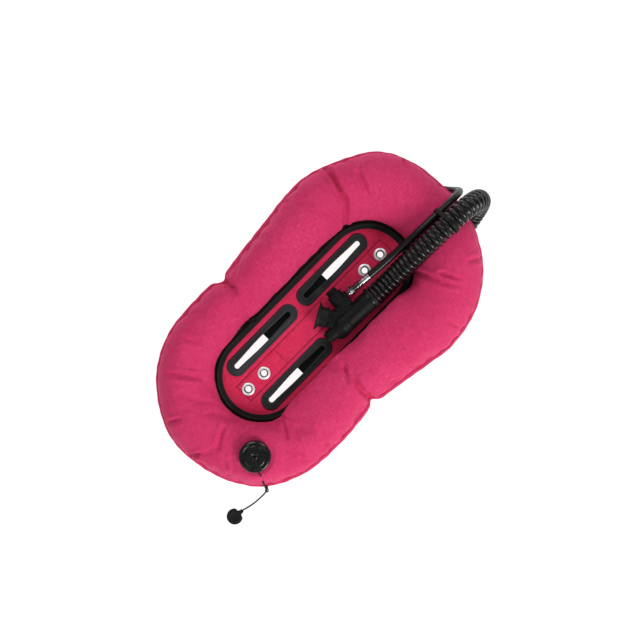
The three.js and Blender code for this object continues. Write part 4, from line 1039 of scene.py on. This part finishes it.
def makeValve():
    v = valve
    base = softened([
        [v["neck"] - 1.8, v["neckLow"]], [v["neck"], v["neckLow"]], [v["neck"], v["seat"]],
        [v["flange"], v["seat"]],
        [v["flange"], v["seat"] + 1.5], [v["flange"] - 1.2, v["seat"] + 2.4],
        [v["cap"] + 0.6, v["seat"] + 2.5],
        [13, v["seat"] + 2.5], [13, v["seat"] + 0.5], [v["neck"] - 1.8, v["seat"] + 0.5]], 0.35, closed=True)
    makePiece("valve_base_turned", [turnedSurface(base, v["at"], sides=72)], valvePlastic,
              ("valve_base",))

    def vents(angle, radius, height):
        # six slots in the skirt, with their edges softened
        slot = smooth(np.cos(6 * angle), 0.62, 0.78)
        band = smooth(height, v["capLow"] + 1.0,
                      v["capLow"] + 1.8) * (1 - smooth(height, v["capLow"] + 7.6, v["capLow"] + 8.4))
        return -2.4 * slot * band * (radius > v["cap"] - 1)

    skirt = [[v["cap"] - 2, v["capLow"]], [v["cap"], v["capLow"]]]
    skirt += [[v["cap"], v["capLow"] + h] for h in (1.0, 1.4, 1.8, 4.5, 7.6, 8.0, 8.4)]
    top = v["top"]
    roof = softened([
        [v["cap"], v["capLow"] + 9.2], [v["cap"] - 0.5, top - 1.6], [v["cap"] - 2.4, top - 0.3],
        [v["cap"] - 4.6, top - 0.1],
        [v["cap"] - 5.6, top - 1.4], [v["cap"] - 8.2, top - 1.5], [v["cap"] - 9.2, top - 0.4], [9, top],
        [6.4, top - 0.1], [5.4, top - 0.9], [4.4, top - 0.9], [3.6, top - 0.1], [1.9, top - 0.1],
        [1.8, top - 2]], 0.45)
    inside = [[v["cap"] - 2, top - 2.2]]
    profile = np.vstack([skirt, roof, inside])
    makePiece("valve_cap_moulded", [turnedSurface(profile, v["at"], sides=144, swell=vents)], capGloss,
              ("valve_cap",), sharp=45)


makeValve()


def makeKnobAndTie():
    # knob: rings of its outline shrinking to a crowned middle on both faces
    end = np.array([134.4, -321.8])
    turn = math.radians(-8)
    side = np.array([[3, 0], [3.4, -2.2], [4.5, -6]])
    angle = np.radians(np.linspace(42, -222, 60))
    bulb = np.column_stack([14 * np.cos(angle), -17 + 14 * np.sin(angle)])
    outline = np.vstack([side, bulb, side[::-1] * (-1, 1)])
    outline = evenly(splineThrough(outline, True, 4), 96, True)[0]
    middle = np.array([0, -15.0])
    shrink = np.concatenate([np.linspace(0.05, 1, 22) ** 0.6, [1.0], np.linspace(1, 0.05, 22) ** 0.6])
    rise = 2.95 * np.clip(1 - shrink ** 9, 0, 1) ** 0.5
    rise = rise * np.sign(np.arange(len(shrink)) - 22)
    plan = middle + (outline - middle)[None] * shrink[:, None, None]
    dimple = 0.9 * np.exp(-(np.hypot(plan[..., 0], plan[..., 1] + 18) / 7) ** 4)
    height = 3.2 + rise[:, None] - np.sign(rise)[:, None] * dimple
    x = plan[..., 0] * math.cos(turn) - plan[..., 1] * math.sin(turn) + end[0]
    y = plan[..., 0] * math.sin(turn) + plan[..., 1] * math.cos(turn) + end[1]
    knob = makePiece("pull_knob_moulded",
                     [gridSurface(np.stack([x, y, height], -1), False, True, True, True)],
                     knobRubber, ("pull_knob",), sharp=60)
    at, before, after = np.array([136.6, -260.6, 56]), np.array([134.8, -259.3, 66]), np.array([138, -263,
                                                                                                41])
    loop = turnedSurface(ringProfile(2.0, 3.4, -2.5, 2.5, 0.5), at, after - before, 24)
    strap = blockSurface((7, 5, 2.6), at + np.array([-3.6, 3.0, 0.3]), (0.8, -0.6, 0), (0.6, 0.8, 0), 0.4)
    tie = makePiece("cord_tie_loop", [loop, strap], cordBraid, ("cord_tie",))
    return knob, tie


pullKnob, cordTie = makeKnobAndTie()
print("valve and cord made")


# Power inflator, drawn in its own frame and turned into place

inflator = {
    "origin": (33.3, 49.6, 79.8), "turn": -2.9, "barrel": 17.5, "half": 39.0, "collar": 11.5, "collarLength": 14.0,
    "housing": 13.6, "housingReach": 48.0, "housingY": 1.0, "port": (-32.3, 19.0), "mouthY": -17.4,
    "mouthTurn": 32.6,
    "mouthReach": 46.0, "bore": 7.5,
}


def turnInflator(v):
    a = math.radians(inflator["turn"])
    x, y, z = v
    return np.array([x * math.cos(a) - y * math.sin(a), x * math.sin(a) + y * math.cos(a), z])


def onInflator(profile, at, axis, sides=48, swell=None):
    place = turnInflator(at) + np.array(inflator["origin"])
    return turnedSurface(profile, place, turnInflator(axis), sides, swell)


def makeInflator():
    b = inflator
    mouthAngle = math.radians(b["mouthTurn"])
    mouthAxis = (-math.cos(mouthAngle), -math.sin(mouthAngle), 0)
    r, half = b["barrel"], b["half"]

    def flats(angle, radius, height):
        return -0.35 * smooth(np.cos(12 * angle), 0.5,
                              0.9) * ((height > 27.5) & (height < 37)) * (radius > r - 0.5)

    barrel = softened([
        [0, -half], [b["collar"] + 0.6, -half], [r - 2.2, -half + 9], [r - 0.6, -half + 12],
        [r, -half + 14], [r, -12],
        [r - 0.9, -11], [r - 0.9, 24], [r, 25], [r, 38.2], [r - 0.8, half], [0, half]], 0.8)
    parts = [onInflator(barrel, (0, 0, 0), (0, 1, 0), 72, flats)]
    oralBore, face = 9.3, -half - b["collarLength"]
    collar = softened([
        [oralBore, face], [b["collar"] - 0.4, face], [b["collar"], face + 1], [b["collar"], face + 3],
        [b["collar"] - 0.7, face + 3.5], [b["collar"] - 0.7, face + 9], [b["collar"], face + 9.6],
        [b["collar"], -half + 3], [oralBore, -half + 3]], 0.4, closed=True)
    parts.append(onInflator(collar, (0, 0, 0), (0, 1, 0), 56))
    reach, h = b["housingReach"], b["housing"]
    housing = softened([
        [9.8, 16], [h, 16], [h, 26], [h - 0.7, 26.7], [h - 0.7, 33], [h, 33.7], [h, reach - 5],
        [h + 0.0, reach - 1.2],
        [h - 1.0, reach], [9.8, reach]], 0.5, closed=True)

    def lugs(angle, radius, height):
        return -0.9 * smooth(np.cos(8 * angle + 0.4), 0.3,
                             0.8) * ((height > reach - 5.5) & (height < reach + 1)) * (radius > h - 1.5)

    parts.append(onInflator(housing, (0, b["housingY"], 0), (-1, 0, 0), 64, lugs))
    parts.append(onInflator(rodProfile(h - 0.5, 0, 34, 0.6), (0, b["housingY"], 0), (-1, 0, 0), 48))
    px, py = b["port"]
    port = softened([[0, -16], [8.4, -16], [8.4, -6], [7.5, -5.4], [7.5, -3.2], [8.2, -2.6], [8.2, -0.4],
                     [5.5, 0], [0, 0]], 0.4)
    parts.append(onInflator(port, (px, py, 0), (0, 1, 0), 32))
    neck = softened([
        [b["bore"], 10], [11.5, 10], [11.5, 20], [11.0, 20.6], [11.0, 26], [11.4, 27],
        [11.4, b["mouthReach"] - 12],
        [b["bore"], b["mouthReach"] - 12]], 0.4, closed=True)
    parts.append(onInflator(neck, (0, b["mouthY"], 0), mouthAxis, 48))
    side = (math.sin(mouthAngle), -math.cos(mouthAngle), 0)
    web = np.array([0, b["mouthY"], 0]) + 16 * np.array(mouthAxis)
    for size, centre, ahead, beside in (((33, 31, 22), web, mouthAxis, side),
                                        ((18, 15, 21), (-24.5, 8.5, 0), (1, 0, 0), (0, 1, 0)),
                                        ((18, 18, 22), (-20, -8, 0), (1, 0, 0), (0, 1, 0))):
        parts.append(blockSurface(size, turnInflator(centre) + np.array(b["origin"]), turnInflator(ahead),
                                  turnInflator(beside), 0.45))
    makePiece("inflator_housing", parts, bodyPlastic, ("inflator_body",), sharp=40)

    button = softened([
        [0, 38], [2.2, 38], [2.2, reach - 7], [9.5, reach - 7], [9.5, reach + 6.2], [8.9, reach + 8.2],
        [7.6, reach + 8.9],
        [6.2, reach + 8.5], [0, reach + 7.9]], 0.5)

    def grip(angle, radius, height):
        return -0.45 * smooth(np.cos(20 * angle), 0.2,
                              0.8) * (radius > 9) * ((height > reach + 0.5) & (height < reach + 7.5))

    makePiece("inflate_button_cap", [onInflator(button, (0, b["housingY"], 0), (-1, 0, 0), 120, grip)],
              bodyPlastic,
              ("inflate_button",), body="inflate_button")
    oralFace = face - 5
    oral = softened([
        [0, oralFace + 0.9], [5.2, oralFace + 0.5], [6.6, oralFace], [8.1, oralFace + 0.2],
        [9.0, oralFace + 1.6],
        [9.0, oralFace + 7], [2.2, oralFace + 7], [2.2, oralFace + 14], [0, oralFace + 14]], 0.4)
    makePiece("oral_button_cap", [onInflator(oral, (0, 0, 0), (0, 1, 0), 48)], bodyPlastic,
              ("oral_button",), body="oral_button")

    # mouthpiece: circles that widen to an oval lip, then back down the bore
    reach = b["mouthReach"]
    along = np.array([reach - 17, reach - 16.6, reach - 13, reach - 9, reach - 6, reach - 4, reach - 2.6,
                      reach - 1.6, reach - 0.6,
                      reach + 0.8, reach + 1.7, reach + 1.9, reach + 1.2, reach - 0.5, reach - 4,
                      reach - 11.6, reach - 11.8])
    wide = np.array([12.6, 17.0, 17.1, 16.6, 16.4, 17.0, 18.8, 21.0, 23.0, 24.0, 23.4, 20.0, 13.0, 9.2, 7.6,
                     7.5, 11.9])
    high = np.array([12.6, 14.2, 13.2, 12.2, 11.8, 11.7, 11.9, 12.2, 12.7, 13.0, 12.5, 11.2, 10.0, 8.6, 7.6,
                     7.5, 11.9])
    angle = np.arange(72) * 2 * np.pi / 72
    axis = turnInflator(mouthAxis)
    side = turnInflator((math.sin(mouthAngle), -math.cos(mouthAngle), 0))
    start = turnInflator((0, b["mouthY"], 0)) + np.array(b["origin"])
    points = (start + along[:, None, None] * axis + (wide[:, None] * np.cos(angle))[..., None] * side
              + (high[:, None] * np.sin(angle))[..., None] * np.array([0, 0, 1.0]))
    makePiece("mouthpiece_lip", [gridSurface(points, True, True)], mouthRubber,
              ("mouthpiece",), sharp=70)


makeInflator()

coupler = {"at": (2.003, 70.21, 79.8), "axis": (0.10153, 0.98246, 0.15643)}


def makeCoupler():
    at, axis = coupler["at"], coupler["axis"]
    nipple = softened([[0, 1.4], [5.5, 1.4], [5.5, 4.4], [3.4, 4.6], [3.4, 14], [0, 14]], 0.3)
    nippleTurned = makePiece("quick_nipple_turned", [turnedSurface(nipple, at, axis, 32)], chromeFinish,
                             ("quick_nipple",))
    body = softened([
        [3.8, 5.5], [5.1, 5.5], [5.1, 19], [6.2, 19.4], [6.2, 21.4], [5.2, 21.8], [5.2, 23.2], [6.2, 23.6],
        [6.2, 27],
        [4.7, 27.4], [4.7, 30], [3.8, 30]], 0.25, closed=True)

    def knurl(angle, radius, height):
        return -0.3 * smooth(np.cos(18 * angle), -0.2,
                             0.6) * ((height > 6.2) & (height < 12.2)) * (radius > 7)

    bodyTurned = makePiece("coupler_body_turned", [turnedSurface(body, at, axis, 48)], chromeFinish,
                           ("coupler_body",))
    sleeve = softened([[5.6, 5.5], [7.4, 5.5], [7.5, 6.6], [7.5, 8.4], [6.9, 8.8], [6.9, 9.8], [7.5, 10.2],
                       [7.5, 12],
                       [7.2, 12.9], [5.6, 12.9]], 0.25, closed=True)
    makePiece("coupler_sleeve_knurled", [turnedSurface(sleeve, at, axis, 108, knurl)], chromeFinish,
              ("coupler_sleeve",), body="coupler_sleeve")
    crimp = softened([[0, 30.4], [5.2, 30.4], [5.7, 31], [5.7, 34.6], [5.2, 35], [5.2, 37], [5.7, 37.4],
                      [5.7, 41], [5.2, 41.4],
                      [5.2, 43.4], [5.7, 43.8], [5.7, 46.4], [5.3, 46.9], [0, 46.9]], 0.25)
    crimpTurned = makePiece("hose_crimp_turned", [turnedSurface(crimp, at, axis, 40)], springFinish,
                            ("hose_crimp",))
    last, before = np.array([-172, 169, 7.0]), np.array([-167, 192, 7.0])
    way = last - before
    crimpEnd = softened([[0, 0.4], [5.6, 0.4], [6.1, 1], [6.1, 6], [5.6, 6.5], [5.6, 9], [6.1, 9.5],
                         [6.1, 15], [5.6, 15.5],
                         [5.6, 19.8], [0, 19.8]], 0.3)
    lpCrimp = makePiece("lp_crimp_turned", [turnedSurface(crimpEnd, last, way, 36)], springFinish,
                        ("lp_crimp",))
    fitting = softened([[0, 20.4], [5.4, 20.4], [5.4, 27.6], [4.7, 28], [4.7, 29], [3.6, 29.1], [3.6, 30.9],
                        [4.7, 31],
                        [4.7, 38.4], [4.2, 39], [0, 39]], 0.2)

    def hexagon(angle, radius, height):
        # the flats of the spanner hexagon
        flat = 5.4 * (np.cos(np.pi / 6) / np.cos((angle % (np.pi / 3)) - np.pi / 6) - 1) + 0.35
        return np.where((height < 27.9) & (radius > 5), np.minimum(flat, 0.35), 0)

    lpFitting = makePiece("lp_fitting_turned", [turnedSurface(fitting, last, way, 72, hexagon)],
                          chromeFinish,
                          ("lp_fitting",))
    oRing = makePiece("lp_o_ring_round",
                      [turnedSurface(ringProfile(3.75, 5.05, 29.25, 30.75, 0.6), last, way, 32)],
                      thinHoseRubber, ("lp_o_ring",))
    return [nippleTurned, bodyTurned, crimpTurned], [lpCrimp, lpFitting, oRing]


_, lpEndPieces = makeCoupler()


def makeTies():
    # clamp bands with a ratchet head
    for name, stands, at, axis, turn in (
            ("barrel_hose_tie_band", "barrel_hose_tie",
             turnInflator((0, 40.5, 0)) + np.array(inflator["origin"]),
             turnInflator((0, 1, 0)), -0.5),
            ("elbow_hose_tie_band", "elbow_hose_tie", np.array([74.5, 250, 20.5])
             + 28 * np.array([-math.sin(math.radians(12.6)), math.cos(math.radians(12.6)), 0]),
             np.array([-math.sin(math.radians(12.6)), math.cos(math.radians(12.6)), 0]), 2.5)):
        band = ringProfile(18.7, 19.8, 0.3, 5.7, 0.35)
        across = np.cross(axis, (0, 0, 1))
        spoke = math.cos(turn) * across + math.sin(turn) * np.array([0, 0, 1.0])
        head = blockSurface((1.6, 8, 5.2), np.asarray(at) + axis * 3 + spoke * 19.6, spoke,
                            np.cross(axis, spoke), 0.35)
        makePiece(name, [turnedSurface(band, at, axis, 72), head], tieNylon, (stands,))


def makeKeeper():
    # strap round both hoses: the belt round two circles, thick and rounded at its edges
    low = np.array(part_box("hose_keeper")[0]) / mm
    lpCentre, lpRadius = np.array([16.0, 117.6]), 6.35 + 0.9
    bigCentre, bigRadius = np.array([39.5, 130.6]), 18 + 0.9
    gap = bigCentre - lpCentre
    tilt, spread = math.atan2(gap[1], gap[0]), math.acos((lpRadius - bigRadius) / np.linalg.norm(gap))
    one = np.linspace(tilt + spread, tilt - spread + 2 * np.pi, 60)
    two = np.linspace(tilt - spread, tilt + spread, 90)
    centre = np.vstack([np.tile(lpCentre, (60, 1)), np.tile(bigCentre, (90, 1))])
    way = np.concatenate([one, two])
    out = np.column_stack([np.cos(way), np.sin(way)])
    base = centre + out * np.concatenate([np.full(60, lpRadius), np.full(90, bigRadius)])[:, None]
    section = softened([[0.15, 0], [1.45, 0], [1.45, 7.6], [0.15, 7.6]], 0.5, closed=True)
    plan = base[:, None] + out[:, None] * section[None, :, :1]
    y = np.broadcast_to(low[1] + 0.05 + section[None, :, 1], plan.shape[:2])
    points = np.stack([plan[..., 0], y, plan[..., 1]], -1)
    makePiece("hose_keeper_strap", [gridSurface(points, True, True)], tieNylon,
              ("hose_keeper",), sharp=50)


def makeElbow():
    at = np.array([74.5, 250, 0.0])
    a = math.radians(12.6)
    way = np.array([-math.sin(a), math.cos(a), 0])
    z = np.array([0, 0, 20.5])
    riser = softened([[0, 20.5], [14, 20.5], [14, 40.5], [27, 40.7], [27, 43.2], [14, 43.2], [14, 57.4],
                      [0, 57.4]], 0.5)
    knuckleAngle = np.linspace(-np.pi / 2, np.pi / 2, 24)
    knuckle = np.column_stack([17 * np.cos(knuckleAngle), 17 * np.sin(knuckleAngle)])
    knuckle[[0, -1], 0] = 0
    run = softened([[0, 0], [17, 0], [17, 9], [16.2, 9.6], [16.2, 12], [17, 12.6], [17, 19.4], [16, 20],
                    [0, 20]], 0.4)
    parts = [turnedSurface(riser, at, (0, 0, 1), 64), turnedSurface(knuckle, at + z, (0, 0, 1), 48),
             turnedSurface(run, at + z, way, 56)]
    for k in range(6):
        turn = k * np.pi / 3 + 0.2
        spoke = np.array([math.cos(turn), math.sin(turn), 0])
        parts.append(blockSurface((9, 1.8, 6), at + spoke * 19 + np.array([0, 0, 38.2]), spoke,
                                  np.cross((0, 0, 1), spoke), 0.35))
    makePiece("elbow_moulded", parts, valvePlastic, ("elbow_body",), sharp=45)


makeTies()
makeKeeper()
makeElbow()
print("inflator, coupler and elbow made")


# Better finishes on the nodes that keep their own shape

keptFinishes = {
    "panel_stiffener": sheetFinish, "valve_nut": valvePlastic, "valve_seal": sealFinish,
    "valve_disc": valvePlastic,
    "valve_spring": springFinish, "elbow_nut": valvePlastic, "inflate_spring": springFinish,
    "oral_spring": springFinish,
}
for name, material in keptFinishes.items():
    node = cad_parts[name]
    node.data.materials.clear()
    node.data.materials.append(material)


# Floor and light

def makeFloor():
    size = 4.0
    mesh = bpy.data.meshes.new("floor")
    mesh.from_pydata([(-size, -size, 0), (size, -size, 0), (size, size, 0), (-size, size, 0)], [],
                     [(0, 1, 2, 3)])
    f = Finish("lightTable", 0.9)
    f.colours(f.noise(f.coords("Object"), 3.0), [(0.3, (0.24, 0.24, 0.24, 1)), (0.7, (0.26, 0.26, 0.26, 1))])
    f.shader.inputs["Emission Color"].default_value = (1, 1, 1, 1)
    f.shader.inputs["Emission Strength"].default_value = 0.93
    mesh.materials.append(f.material)
    floor = bpy.data.objects.new("floor", mesh)
    scene.collection.objects.link(floor)


light = {
    "sky": 0.25,
    "lamps": (("key", (2.2, -0.4, 1.7), 1.4, 60.0), ("fill", (-2.0, 0.8, 1.9), 1.6, 24.0),
              ("headEnd", (-0.4, 2.2, 1.8), 1.2, 12.0), ("footEnd", (0.2, -2.2, 1.8), 1.2, 10.0)),
}


def makeLights():
    world = bpy.data.worlds.new("sky")
    world.use_nodes = True
    world.node_tree.nodes["Background"].inputs["Color"].default_value = (1, 1, 1, 1)
    world.node_tree.nodes["Background"].inputs["Strength"].default_value = light["sky"]
    scene.world = world
    for name, place, size, power in light["lamps"]:
        data = bpy.data.lights.new(name, "AREA")
        data.shape, data.size, data.energy = "DISK", size, power
        lamp = bpy.data.objects.new(name, data)
        lamp.location = place
        heading = -np.array(place)
        lamp.rotation_euler = (math.atan2(math.hypot(heading[0], heading[1]), -heading[2]), 0,
                               math.atan2(heading[1], heading[0]) - math.pi / 2)
        scene.collection.objects.link(lamp)


makeFloor()
makeLights()
